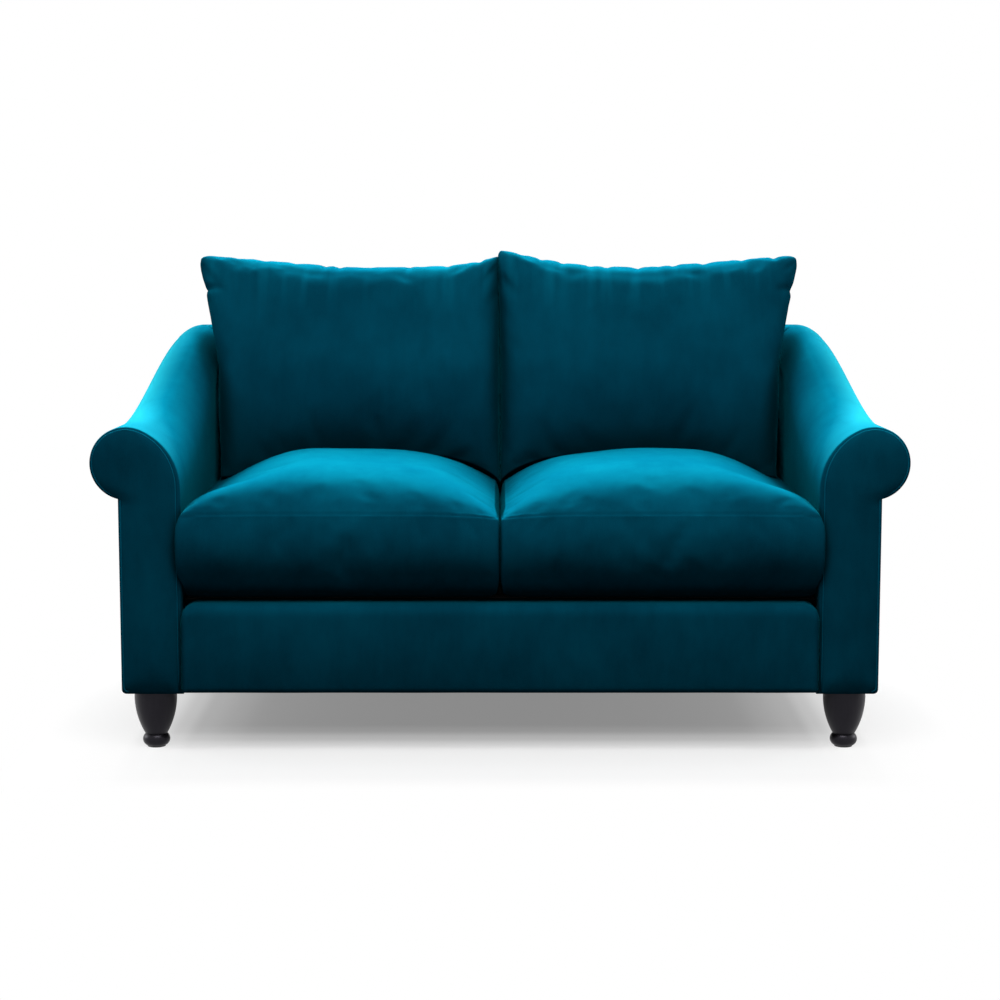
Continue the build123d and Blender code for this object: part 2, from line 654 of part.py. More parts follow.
def back_cushion_rear():
    """Rear fullness of the back cushion's middle at its belly, where it just clears the inside back.
    Sizes are in the cushion's own plane: behind its middle line, and up along it."""
    lean = radians(BACK_CUSHION_LEAN)
    turn = lean - radians(BACK_LEAN)
    base_run, base_z = back_cushion_base()
    height = (BACK_CUSHION_TOP - BACK_CUSHION_DIP - base_z) / cos(lean)
    half_base = BACK_CUSHION_BASE / 2
    chord = sqrt(half_base ** 2 + height ** 2)
    face = (back_face_foot() - base_run) * cos(radians(BACK_LEAN))
    face += (base_z - DECK_HEIGHT) * sin(radians(BACK_LEAN))
    room = face - half_base / 2 * cos(turn) - height / 2 * sin(turn) - CUSHION_GAP
    tilt = (height * cos(turn) + half_base * sin(turn)) / chord
    spread = 1 - tilt ** 2
    reach = (room * tilt - sqrt(room ** 2 - spread * chord ** 2 / 4)) / spread
    radius = sqrt(reach ** 2 + chord ** 2 / 4)
    centre_behind = half_base / 2 - reach * height / chord
    centre_up = height / 2 - reach * half_base / chord
    return centre_behind + sqrt(radius ** 2 - (BELLY_HEIGHT_SHARE * height - centre_up) ** 2)


def back_cushion(skin):
    """Right back cushion, drawn in by a skin: flat base, full belly, thin sewn edges, dipping top edge."""
    lean = radians(BACK_CUSHION_LEAN)
    base_run, base_z = back_cushion_base()
    up = Vector(0, sin(lean), cos(lean))
    behind = Vector(0, cos(lean), -sin(lean))
    base = Vector(0, at(base_run), base_z) + up * skin
    height = (BACK_CUSHION_TOP - base_z) / cos(lean) - 3 * skin
    rear_fullness = back_cushion_rear()
    end = 2 * skin

    def section(share):
        across_share = abs(2 * share - 1)
        swell = 1 - across_share ** 3
        fullness = BACK_CUSHION_EDGE_SHARE + (1 - BACK_CUSHION_EDGE_SHARE) * swell
        rise = height - BACK_CUSHION_DIP * swell / cos(lean)
        x_base = CUSHION_GAP + end + (X_INNER - BACK_CUSHION_BASE_CLEAR - CUSHION_GAP - 2 * end) * share
        x_top = CUSHION_GAP + end + (X_INNER + BACK_CUSHION_OVERHANG - CUSHION_GAP - 2 * end) * share
        foot = base + Vector(x_base, 0, 0)
        top = base + Vector(x_top, 0, 0) + up * rise
        belly = foot + (top - foot) * BELLY_HEIGHT_SHARE
        half_base = behind * (BACK_CUSHION_BASE / 2 * fullness - skin)
        front = belly - behind * (BACK_CUSHION_FRONT * fullness - skin)
        rear = belly + behind * (rear_fullness * fullness - skin)
        return outline([
            ThreePointArc(foot - half_base, front, top),
            ThreePointArc(top, rear, foot + half_base),
            Line(foot + half_base, foot - half_base),
        ])

    return loft([section(share) for share in (0.0, 0.04, 0.2, 0.5, 0.8, 0.96, 1.0)])


def write(name, shape):
    export_step(shape, os.path.join("parts", name + ".step"))


def main():
    os.makedirs("parts", exist_ok=True)
    pieces = cross_timbers()
    right_hand = arm_timbers()
    right_hand["arm_upholstery"] = arm_upholstery()
    right_hand["arm_facing"] = arm_facing()
    right_hand["arm_piping"] = arm_piping()
    for name, make in (("seat_cushion", seat_cushion), ("back_cushion", back_cushion)):
        core = make(COVER_THICK)
        right_hand[name + "_cover"] = make(0.0) - core
        right_hand[name + "_core"] = core
    for name, shape in right_hand.items():
        pieces["right_" + name] = shape
        pieces["left_" + name] = mirrored(shape)
    pieces["corner_blocks"] = corner_blocks()
    pieces["seat_springs"] = Compound([serpentine_spring(x).solid() for x in spring_places()])
    pieces["spring_clips"] = spring_clips()
    pieces["back_webbing"] = back_webbing()
    pieces["seat_deck"] = seat_deck()
    pieces["dust_cover"] = dust_cover()
    pieces["front_border"] = front_border()
    pieces["back_pad"] = back_pad()
    pieces["back_border"] = back_border()
    pieces["outside_back_panel"] = outside_back_panel()
    leg_names = ("front_left_leg", "front_right_leg", "rear_left_leg", "rear_right_leg")
    pieces.update(zip(leg_names, four_legs(turned_leg())))
    pieces["leg_bolts"] = Compound(four_legs(leg_bolt()))
    pieces["leg_nuts"] = Compound(four_legs(leg_nut()))
    pieces["leg_glides"] = Compound(four_legs(upright(GLIDE_RADIUS, (0, GLIDE_THICK))))
    for name, shape in pieces.items():
        write(name, shape)


main()
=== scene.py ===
"""Two-seat scroll-arm sofa, dressed: velvet upholstery, loose cushions and turned black legs.

Pieces are worked out in millimetres in the model's own frame and made in metres.
A "run" is a distance behind the plane of the two arm faces, as in the part's source.
"""

import json
from math import acos, cos, pi, radians, sin, sqrt, tan

import bmesh
import bpy
import numpy as np
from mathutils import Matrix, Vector, kdtree, noise
from mathutils.bvhtree import BVHTree

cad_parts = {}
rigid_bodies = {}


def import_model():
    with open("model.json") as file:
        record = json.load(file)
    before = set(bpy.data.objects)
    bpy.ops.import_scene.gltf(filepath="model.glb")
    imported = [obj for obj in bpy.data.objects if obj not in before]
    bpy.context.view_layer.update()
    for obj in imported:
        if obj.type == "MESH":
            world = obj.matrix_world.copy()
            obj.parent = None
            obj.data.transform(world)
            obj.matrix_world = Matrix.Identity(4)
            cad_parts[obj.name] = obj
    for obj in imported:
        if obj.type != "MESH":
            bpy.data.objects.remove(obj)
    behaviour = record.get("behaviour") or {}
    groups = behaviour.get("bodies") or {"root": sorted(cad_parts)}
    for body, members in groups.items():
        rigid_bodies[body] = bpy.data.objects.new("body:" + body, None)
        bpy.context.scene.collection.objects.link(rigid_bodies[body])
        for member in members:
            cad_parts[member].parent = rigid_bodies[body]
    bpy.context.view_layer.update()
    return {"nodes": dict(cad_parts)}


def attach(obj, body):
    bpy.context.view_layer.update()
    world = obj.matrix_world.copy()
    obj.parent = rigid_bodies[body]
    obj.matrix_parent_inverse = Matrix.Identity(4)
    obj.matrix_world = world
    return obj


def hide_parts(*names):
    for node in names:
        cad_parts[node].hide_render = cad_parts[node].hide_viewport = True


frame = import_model()
scene = bpy.context.scene
scene.view_settings.view_transform = "Standard"

MM = 0.001
Y_FACE = -440.0
X_INNER = 624.0
X_OUTER = 746.0
Z_BASE = 115.0
ARM_LENGTH = 850.0
ARM_FRONT_HEIGHT = 644.0
ARM_REAR_HEIGHT = 795.0
DECK_HEIGHT = 300.0
BACK_LEAN = radians(10.0)
BACK_FOOT_RUN = 686.5


def smooth(value, low, high):
    """Smooth step from 0 at low to 1 at high."""
    t = np.clip((np.asarray(value, float) - low) / (high - low), 0.0, 1.0)
    return t * t * (3 - 2 * t)


def puff(share, power, root):
    """Cushion profile: 0 at the sewn edge, steep at first, level at share 1."""
    return (1 - (1 - np.clip(share, 0.0, 1.0)) ** power) ** (1 / root)


def lumps(x, y, size, seed):
    """Smooth noise between about -1 and 1 at a lump size."""
    flat = [noise.noise((a / size, b / size, seed)) for a, b in zip(np.ravel(x), np.ravel(y))]
    return np.array(flat).reshape(np.shape(x)) * 1.6


# Camera


LENS = 83.68
SENSOR = 36.0
CLIP_RANGE = (0.05, 100.0)
CAMERA_PLACE = (0.0, -4.933, 1.085)
CAMERA_TILT = 7.4


def make_camera():
    """Camera in front of the sofa, tilted a few degrees down."""
    data = bpy.data.cameras.new("camera")
    data.sensor_width = SENSOR
    data.lens = LENS
    data.clip_start, data.clip_end = CLIP_RANGE
    camera = bpy.data.objects.new("camera", data)
    camera.location = CAMERA_PLACE
    camera.rotation_euler = (radians(90 - CAMERA_TILT), 0.0, 0.0)
    scene.collection.objects.link(camera)
    scene.camera = camera


# Materials


class Shader:
    """A material's node tree with short calls for the nodes used here."""

    def __init__(self, name):
        self.material = bpy.data.materials.new(name)
        self.material.use_nodes = True
        self.tree = self.material.node_tree
        self.bsdf = self.tree.nodes["Principled BSDF"]
        self.coord = self.node("TexCoord").outputs["Object"]

    def feed(self, socket, value):
        """Links another node's output to a socket, or sets a plain value."""
        if hasattr(value, "is_output"):
            self.tree.links.new(value, socket)
        else:
            socket.default_value = value

    def fill(self, node, inputs):
        for name, value in inputs.items():
            self.feed(node.inputs[name.replace("_", " ")], value)

    def node(self, kind, **inputs):
        node = self.tree.nodes.new(f"ShaderNode{kind}")
        self.fill(node, inputs)
        return node

    def set(self, **inputs):
        """Fills inputs of the surface."""
        self.fill(self.bsdf, inputs)

    def stretched(self, scale):
        return self.node("Mapping", Vector=self.coord, Scale=scale).outputs["Vector"]

    def noise(self, scale, detail=2.0, rough=0.5, vector=None):
        vector = self.coord if vector is None else vector
        node = self.node("TexNoise", Vector=vector, Scale=scale, Detail=detail, Roughness=rough)
        return node.outputs["Fac"]

    def wave(self, scale, direction):
        node = self.node("TexWave", Vector=self.coord, Scale=scale)
        node.bands_direction = direction
        return node.outputs["Fac"]

    def split(self, vector):
        """Outputs X, Y and Z of a vector."""
        return self.node("SeparateXYZ", Vector=vector).outputs

    def math(self, operation, a, b=0.0):
        node = self.node("Math")
        node.operation = operation
        for socket, value in zip(node.inputs, (a, b)):
            self.feed(socket, value)
        return node.outputs["Value"]

    def times(self, first, *others):
        for other in others:
            first = self.math("MULTIPLY", first, other)
        return first

    def spread(self, value, low, high, to_low=0.0, to_high=1.0):
        """Takes low to to_low and high to to_high, and stops there."""
        limits = {"From Min": low, "From Max": high, "To Min": to_low, "To Max": to_high}
        return self.node("MapRange", Value=value, **limits).outputs["Result"]

    def mix(self, factor, first, second):
        node = self.node("Mix", Factor=factor)
        node.data_type = "RGBA"
        ends = [socket for socket in node.inputs if socket.type == "RGBA"]
        for socket, value in zip(ends, (first, second)):
            self.feed(socket, value if hasattr(value, "is_output") else (*value, 1.0))
        return [socket for socket in node.outputs if socket.type == "RGBA"][0]

    def bump(self, layers):
        """Stack of (height, distance in metres) on the normal."""
        below = {}
        for height, distance in layers:
            node = self.node("Bump", Height=height, Distance=distance, **below)
            below = {"Normal": node.outputs["Normal"]}
        self.set(**below)


# Velvet tones, each darker and lighter with the nap; the tone for a glancing angle is a painted sheen
DEEP = ((0.0004, 0.042, 0.074), (0.0006, 0.07, 0.119))
GLANCE_SHEEN = ((0.001, 0.2, 0.33), (0.002, 0.275, 0.415))
SPECK = ((0.0003, 0.035, 0.064), (0.001, 0.09, 0.15))
# Painted highlight colour for the arms' outer upper edge
RIM_HIGHLIGHT = (0.032, 0.74, 0.93)
# Painted shade colour for hollows and contact lines
HOLLOW_SHADE = (0.0002, 0.024, 0.036)
SHEEN = (0.0, 0.7, 0.95, 1.0)
# Painted shade in hollows, one row for each reach: reach in metres, the openness taken as shut and as open,
# and the level where it is shut
SHADE_REACHES = ((0.07, 0.45, 0.9, 0.3), (0.2, 0.08, 0.8, 0.0), (0.6, 0.25, 0.75, 0.62))
NAP_RANGE = (0.36, 0.64)
# Painted light lines below the back cushions' top seam: their noise scale and the heights in metres where
# they show
STREAK_SCALE = (34.0, 3.0, 3.5)
STREAK_HEIGHTS = (0.83, 0.95)


class Velvet(Shader):
    """Short dense pile, with what its painted sheen, shade and light depend on: how the cloth lies and its
    place in metres.
    """

    def __init__(self, name):
        super().__init__(name)
        self.facing = self.node("LayerWeight", Blend=0.5).outputs["Facing"]
        self.normal = self.split(self.node("NewGeometry").outputs["Normal"])
        self.place = self.split(self.coord)
        self.outward = self.times(self.normal["X"], self.math("SIGN", self.place["X"]))
        self.beside = self.math("ABSOLUTE", self.place["X"])
        self.ahead = self.spread(self.place["Y"], -0.1, -0.42)
        self.behind = self.spread(self.place["Y"], 0.0, 0.3)

    def painted_sheen_share(self, steep):
        """Share of the painted sheen: most on level cloth seen at a glancing angle, with painted shade on
        the arms' inner walls, the seat's rear and the arms' rear, and painted light on the front of the
        arms' inner walls.
        """
        along, height = self.place["Y"], self.place["Z"]
        inward = self.times(self.spread(self.outward, -0.2, -0.7), self.spread(self.beside, 0.6, 0.63))
        # Painted shade on the arms' inner walls, deeper towards the back
        shaded = self.times(inward, self.spread(along, -0.3, 0.12, 0.0, 0.75))
        # Painted shade on the seat tops towards the back cushions
        seat_rear_shade = self.times(self.spread(along, -0.27, -0.08), self.spread(height, 0.6, 0.56))
        # Painted shade on the rear of the arms
        rear_arm_shade = self.times(self.behind, self.spread(self.beside, 0.58, 0.66))
        # Painted sheen on level cloth, turned down where painted shade falls
        level = self.times(
            self.math("POWER", self.spread(self.normal["Z"], 0.0, 0.97), steep),
            self.math("SUBTRACT", 1.0, shaded),
            self.spread(seat_rear_shade, 0.0, 1.0, 1.0, 0.71),
            self.spread(rear_arm_shade, 0.0, 1.0, 1.0, 0.55),
        )
        # Painted light on the front of the arms' inner walls
        front_wall_light = self.times(inward, self.spread(along, -0.12, -0.43, 0.0, 0.3))
        return self.times(self.spread(self.facing, 0.2, 0.8), self.math("ADD", level, front_wall_light))

    def painted_light_lines(self, strength):
        """Painted highlights in lines that run down from a gathered top seam."""
        line = self.noise(1.0, 1.0, 0.5, self.stretched(STREAK_SCALE))
        upper = self.spread(self.place["Z"], *STREAK_HEIGHTS, 0.0, strength)
        return self.times(self.spread(line, 0.5, 0.82), upper)

    def rim(self):
        """Painted highlight along the arms' outer upper edge, where the pile is seen almost edge on."""
        turned = self.math("ADD", self.outward, self.times(self.ahead, 1.05))
        across = self.math("ADD", self.beside, self.times(self.ahead, 0.05))
        return self.times(
            self.spread(self.facing, 0.5, 0.97),
            self.spread(turned, -0.1, 0.62),
            self.spread(self.normal["Z"], 0.1, 0.5),
            self.spread(across, 0.64, 0.69),
            self.spread(self.ahead, 0.1, 0.9, 1.0, 0.4),
            self.spread(self.behind, 0.0, 1.0, 1.0, 0.45),
        )

    def unshaded_share(self):
        """Mask of the painted shade: 1 in the open, less in hollows and along contact lines."""
        levels = []
        for reach, shut, clear, darkest in SHADE_REACHES:
            node = self.node("AmbientOcclusion", Distance=reach)
            node.samples = 8
            levels.append(self.spread(node.outputs["AO"], shut, clear, darkest, 1.0))
        return self.times(*levels)


def velvet(name="velvet", lift=1.0, streaks=0.0, steep=2.2):
    """Velvet material: deep colour seen straight on with brushed nap marks, a painted sheen of a lighter
    colour at a glancing angle on level cloth, painted shade and light by place, a painted highlight on the
    arms' outer upper edge and painted shade in hollows.
    lift scales the colour seen straight on: above 1 it is a lit copy that paints a highlight, as on the
    cord; below 1 a darker, shaded copy.
    streaks is the strength of the painted light lines below a gathered top seam.
    steep is how quickly the painted sheen fades from level cloth to upright cloth."""
    s = Velvet(name)
    nap = s.noise(4.5, 3.0, 0.55)
    brush = s.noise(22.0, 4.0, 0.6, s.stretched((1.5, 1.0, 0.55)))
    pile = s.noise(900.0, 2.0, 0.6)
    shade = s.spread(s.math("ADD", s.times(nap, 0.7), s.times(brush, 0.3)), *NAP_RANGE)
    # lift gives a lit or a shaded copy of the deep colour
    deep = s.mix(shade, *([lift * level for level in tone] for tone in DEEP))
    sheen_tone = s.mix(shade, *GLANCE_SHEEN)
    # Painted sheen towards the lighter glancing tone
    tone = s.mix(s.painted_sheen_share(steep), deep, sheen_tone)
    # Painted highlights in lines below the gathered top seam
    if streaks:
        tone = s.mix(s.painted_light_lines(streaks), tone, sheen_tone)
    # Painted highlight along the arms' outer upper edge
    tone = s.mix(s.rim(), tone, RIM_HIGHLIGHT)
    speck = s.mix(s.spread(pile, 0.3, 0.7), *SPECK)
    cloth = s.mix(s.spread(pile, 0.0, 1.0, 0.05, 0.25), tone, speck)
    # Painted shade in hollows and along contact lines
    s.set(Base_Color=s.mix(s.unshaded_share(), HOLLOW_SHADE, cloth), Roughness=s.spread(brush, 0.3, 0.7, 0.82, 0.95))
    s.set(Sheen_Weight=0.08, Sheen_Roughness=0.3, Sheen_Tint=SHEEN, Specular_IOR_Level=0.0)
    s.bump([(brush, 0.0008), (pile, 0.0004)])
    return s.material


def leg_wood():
    s = Shader("leg_wood")
    grain = s.noise(90.0, 5.0, 0.6, s.stretched((1.0, 1.0, 0.06)))
    cloud = s.noise(22.0, 3.0)
    s.set(Base_Color=s.mix(s.spread(grain, 0.35, 0.65), (0.0034, 0.0033, 0.0042), (0.0078, 0.0075, 0.0092)))
    s.set(Roughness=s.spread(cloud, 0.3, 0.7, 0.34, 0.48))
    s.set(Specular_IOR_Level=0.22, Specular_Tint=(0.85, 0.8, 1.0, 1.0))
    s.set(Coat_Weight=0.05, Coat_Roughness=0.2)
    s.bump([(grain, 0.0003)])
    return s.material


def frame_timber():
    s = Shader("frame_timber")
    rings = s.noise(14.0, 4.0, 0.6, s.stretched((0.12, 1.0, 1.0)))
    fibre = s.noise(420.0, 3.0, 0.6, s.stretched((0.04, 1.0, 1.0)))
    pale = s.mix(s.spread(rings, 0.38, 0.62), (0.52, 0.34, 0.18), (0.68, 0.48, 0.28))
    s.set(Base_Color=s.mix(s.spread(fibre, 0.35, 0.65, 0.0, 0.5), pale, (0.4, 0.24, 0.12)))
    s.set(Roughness=s.spread(fibre, 0.3, 0.7, 0.62, 0.8))
    s.bump([(fibre, 0.0004)])
    return s.material


def metal(name, low, high, rough_low, rough_high):
    s = Shader(name)
    cloud = s.noise(160.0, 4.0, 0.6)
    s.set(Base_Color=s.mix(s.spread(cloud, 0.35, 0.65), low, high))
    s.set(Roughness=s.spread(cloud, 0.3, 0.7, rough_low, rough_high))
    s.set(Metallic=1.0)
    s.bump([(cloud, 0.0001)])
    return s.material


def woven(name, low, high, threads, stripe=None):
    """Plain weave from two crossed bands, with an optional coloured stripe along Z."""
    s = Shader(name)
    across = s.wave(threads, "X")
    along = s.wave(threads, "Z")
    deep = s.wave(threads, "Y")
    weave = s.times(s.math("ADD", across, deep), along)
    fuzz = s.noise(700.0, 2.0)
    cloth = s.mix(s.spread(weave, 0.1, 1.2), low, high)
    if stripe is not None:
        cloth = s.mix(s.spread(s.wave(9.0, "X"), 0.8, 0.9), cloth, stripe)
    s.set(Base_Color=cloth)
    s.set(Roughness=s.spread(fuzz, 0.3, 0.7, 0.8, 0.95))
    s.bump([(weave, 0.0008), (fuzz, 0.0002)])
    return s.material


def plastic():
    s = Shader("glides")
    grain = s.noise(600.0, 2.0)
    s.set(Base_Color=s.mix(grain, (0.02, 0.02, 0.021), (0.035, 0.035, 0.036)))
    s.set(Roughness=s.spread(grain, 0.3, 0.7, 0.45, 0.6))
    s.bump([(grain, 0.0002)])
    return s.material


MATERIAL = {
    "velvet": velvet(),
    "leg_wood": leg_wood(),
    "frame_timber": frame_timber(),
    "spring_steel": metal("spring_steel", (0.3, 0.31, 0.33), (0.42, 0.43, 0.45), 0.3, 0.45),
    "fixings": metal("fixings", (0.5, 0.49, 0.45), (0.66, 0.65, 0.6), 0.25, 0.4),
    "glides": plastic(),
    "webbing": woven("webbing", (0.2, 0.15, 0.09), (0.45, 0.36, 0.24), 130.0, (0.05, 0.05, 0.05)),
    "dust_cloth": woven("dust_cloth", (0.006, 0.006, 0.0065), (0.022, 0.022, 0.023), 220.0),
    "deck_cloth": woven("deck_cloth", (0.008, 0.009, 0.01), (0.03, 0.032, 0.034), 150.0),
}


# Lit copy of the velvet: a painted highlight on the piping cord
CORD_VELVET_LIT = velvet("velvet_cord_lit", lift=2.1)
# Darker, shaded copy of the velvet for the back cushions, with painted light lines and a sheen that falls
# off sooner
BACK_VELVET_SHADED = velvet("velvet_back_shaded", lift=0.82, streaks=0.3, steep=2.9)


# Mesh helpers


def piece(name, points, faces, slot="velvet", body="frame", keep_sharp=None):
    """Mesh object from points in millimetres, with its material, slot and body."""
    mesh = bpy.data.meshes.new(name)
    mesh.from_pydata((np.asarray(points, float) * MM).tolist(), [], faces)
    tidy = bmesh.new()
    tidy.from_mesh(mesh)
    bmesh.ops.recalc_face_normals(tidy, faces=tidy.faces)
    tidy.to_mesh(mesh)
    tidy.free()
    mesh.polygons.foreach_set("use_smooth", [True] * len(mesh.polygons))
    if keep_sharp is not None:
        mesh.set_sharp_from_angle(angle=radians(keep_sharp))
    mesh.materials.append(MATERIAL[slot])
    obj = bpy.data.objects.new(name, mesh)
    scene.collection.objects.link(obj)
    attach(obj, body)
    return obj


def edge_loop(rows, cols):
    """Places round the edge of a grid, in order."""
    first = [(0, c) for c in range(cols)]
    last = [(r, cols - 1) for r in range(1, rows)]
    back = [(rows - 1, c) for c in range(cols - 2, -1, -1)]
    home = [(r, 0) for r in range(rows - 2, 0, -1)]
    return first + last + back + home


def grid_faces(index):
    rows, cols = index.shape
    return [
        (index[r, c], index[r, c + 1], index[r + 1, c + 1], index[r + 1, c])
        for r in range(rows - 1)
        for c in range(cols - 1)
    ]


def ring_faces(first, second):
    count = len(first)
    return [(first[i], first[(i + 1) % count], second[(i + 1) % count], second[i]) for i in range(count)]


def plain(faces):
    """Faces as tuples of Python's own integers."""
    return [tuple(int(i) for i in face) for face in faces]


def ringed(rings):
    """Points, place numbers and faces of a skin over rings of equal length."""
    grid = np.array(rings)
    index = np.arange(grid.shape[0] * grid.shape[1]).reshape(grid.shape[:2])
    return grid.reshape(-1, 3), index, grid_faces(index)


def stitched(top, bottom, rims=()):
    """Closed mesh of two equal grids joined round their edges through rim loops.
    Gives the points, the faces and the index arrays of the top, the rims and the bottom."""
    rows, cols = top.shape[:2]
    count = rows * cols
    loop = edge_loop(rows, cols)
    top_index = np.arange(count).reshape(rows, cols)
    points = [top.reshape(-1, 3)]
    loops = [[int(top_index[p]) for p in loop]]
    start = count
    for rim in rims:
        points.append(np.asarray(rim, float))
        loops.append(list(range(start, start + len(rim))))
        start += len(rim)
    bottom_index = np.arange(count).reshape(rows, cols) + start
    points.append(bottom.reshape(-1, 3))
    loops.append([int(bottom_index[p]) for p in loop])
    faces = grid_faces(top_index) + grid_faces(bottom_index)
    for a, b in zip(loops, loops[1:]):
        faces += ring_faces(a, b)
    return np.concatenate(points), plain(faces), top_index, loops, bottom_index


def loop_points(grid):
    """Values round the edge of a grid, in order."""
    return np.array([grid[p] for p in edge_loop(*grid.shape[:2])])


def backed(front, axis, level):
    """Closed mesh of a grid and a copy of it brought to a level of one axis."""
    back = front.copy()
    back[:, :, axis] = level
    return stitched(front, back)[:2]


def tube(path, radius, sides):
    """Points and faces of a round cord along an open path."""
    count = len(path)
    ahead = np.roll(path, -1, 0) - np.roll(path, 1, 0)
    ahead[0] = path[1] - path[0]
    ahead[-1] = path[-1] - path[-2]
    ahead /= np.linalg.norm(ahead, axis=1)[:, None]
    side = np.cross(ahead[0], (0.0, 1.0, 0.0))
    points = []
    for i in range(count):
        side = side - ahead[i] * np.dot(side, ahead[i])
        side /= np.linalg.norm(side)
        other = np.cross(ahead[i], side)
        for k in range(sides):
            turn = 2 * pi * k / sides
            points.append(path[i] + radius * (cos(turn) * side + sin(turn) * other))
    rings = [list(range(i * sides, (i + 1) * sides)) for i in range(count)]
    faces = []
    for first, second in zip(rings, rings[1:]):
        faces += ring_faces(first, second)
    return np.array(points), faces + [tuple(rings[0]), tuple(rings[-1])]


def joined(parts):
    """Several (points, faces) as one."""
    points, faces, start = [], [], 0
    for some, polygons in parts:
        points.append(np.asarray(some, float))
        faces += [tuple(i + start for i in f) for f in polygons]
        start += len(some)
    return np.concatenate(points), faces


def sided(points, side):
    """Right-hand points, or their mirror image for the left-hand side."""
    return np.asarray(points, float) * (side, 1.0, 1.0)


def at_run(flat, run):
    """Outline of (x, z) points stood up at a run."""
    return np.column_stack([flat[:, 0], np.full(len(flat), Y_FACE + run), flat[:, 1]])


def eased(count):
    """Shares from 0 to 1, closer together at both ends."""
    return (1 - np.cos(np.linspace(0, pi, count))) / 2


def crowded(count, bend=1.0):
    """Places from -1 to 1, the closer together at both ends the nearer bend is to 1."""
    return np.sin(np.linspace(-1, 1, count) * pi / 2 * bend) / sin(pi / 2 * bend)


def straight(first, last, count):
    """Points along a straight line, both ends included."""
    return [tuple(spot) for spot in np.linspace(first, last, count)]


def arc(centre, radius, start, end, count):
    """Points along an arc, without the first one."""
    turns = np.linspace(start, end, count)[1:]
    return [(centre[0] + radius * cos(turn), centre[1] + radius * sin(turn)) for turn in turns]


def arched(half, corner, low, spring, shares, count):
    """Columns of an upright panel with rounded top corners, one for each share of its width.
    Each gives its points' x, z and room to the outline, its crest, and the way out: 0 sideways, 1 up."""
    for x in -half + 2 * half * shares:
        beyond = max(0.0, abs(x) - (half - corner))
        crest = spring + sqrt(max(0.0, corner ** 2 - beyond ** 2))
        z = low + (crest - low) * eased(count)
        above = np.maximum(z - spring, 0)
        reach = np.hypot(beyond, above)
        room = np.minimum(np.where(above > 0, corner - reach, half), half - abs(x))
        yield np.full(count, x), z, room, crest, above / np.maximum(reach, 1e-6)


# Scroll arms


EDGE_ROLL = 6.0
INNER_ROLL = 1.6
COVER_LIP = 6.0
ARM_HEM = 9.0
ARM_RISE_START = 122.0
ARM_RISE_POWER = 1.12
SHOULDER_TURN = radians(66.0)
SCROLL_RADIUS = 72.0
SCROLL_SHRINK = 7.0
OVERHANG = 54.0
OVERHANG_LOSS = 52.5
OVERHANG_END = 70.0
FACING_INSET = 7.0
FACING_LAP = 2.0
FACING_DOME = 9.0
FACING_EDGE = 60.0
PIPING_RADIUS = 1.4
PIPING_PROUD = 0.49
PIPING_SIDES = 8


def arm_top(run):
    """Height of the arm at a run: level in front, then rising in an S."""
    share = min(1.0, max(0.0, (run - ARM_RISE_START) / (ARM_LENGTH - ARM_RISE_START))) ** ARM_RISE_POWER
    return ARM_FRONT_HEIGHT + (ARM_REAR_HEIGHT - ARM_FRONT_HEIGHT) * share * share * (3 - 2 * share)


def arm_shape(run, inset=0.0):
    """Centres and radii of the arm's section at a run."""
    taper = min(1.0, (run - EDGE_ROLL) / (ARM_LENGTH - OVERHANG_END - EDGE_ROLL))
    full = SCROLL_RADIUS - SCROLL_SHRINK * run / ARM_LENGTH
    centre = (X_OUTER + OVERHANG - OVERHANG_LOSS * taper - full, arm_top(run) - full)
    shoulder = (centre[0] - X_INNER - full * cos(SHOULDER_TURN)) / (1 - cos(SHOULDER_TURN))
    shoulder_centre = (
        centre[0] + (shoulder - full) * cos(SHOULDER_TURN),
        centre[1] - (shoulder - full) * sin(SHOULDER_TURN),
    )
    return centre, full - inset, shoulder_centre, shoulder


def arm_outline(run, inset=0.0):
    """Open outline of the arm's section as (x, z): up the inner side, round the scroll and down outside.
    The inset is wider down the inner side."""
    centre, radius, shoulder_centre, shoulder = arm_shape(run, inset)
    inner, outer, bottom = X_INNER + inset * INNER_ROLL, X_OUTER - inset, Z_BASE + inset
    tuck = acos((outer - centre[0]) / radius)
    line = straight((inner, bottom), (inner, shoulder_centre[1]), 15)
    for turn in np.linspace(0, SHOULDER_TURN, 12)[1:]:
        reach = shoulder - inset * (INNER_ROLL + (1 - INNER_ROLL) * smooth(turn, 0, SHOULDER_TURN))
        line.append((shoulder_centre[0] - reach * cos(turn), shoulder_centre[1] + reach * sin(turn)))
    line += arc(centre, radius, pi - SHOULDER_TURN, -tuck, 40)
    under, hem = line[-1][1], bottom + ARM_HEM
    line += [(outer, under + (hem - under) * t) for t in (0.006, 0.02, *np.linspace(0.07, 1, 13))]
    line += arc((outer - ARM_HEM, hem), ARM_HEM, 0, -pi / 2, 6)
    return np.array(line)


def arm_cover(side):
    """Padded arm: rings along the run with a rolled front edge."""
    rings = [at_run(arm_outline(EDGE_ROLL, EDGE_ROLL + COVER_LIP), 0.0)]
    for turn in np.linspace(0, pi / 2, 6):
        flat = arm_outline(EDGE_ROLL, EDGE_ROLL * (1 - sin(turn)))
        rings.append(at_run(flat, EDGE_ROLL * (1 - cos(turn))))
    rings += [at_run(arm_outline(run), run) for run in np.linspace(EDGE_ROLL, ARM_LENGTH, 74)[1:]]
    points, index, faces = ringed(rings)
    faces += [(a[0], b[0], b[-1], a[-1]) for a, b in zip(index, index[1:])]
    return sided(points, side), plain([*faces, index[0], index[-1]])


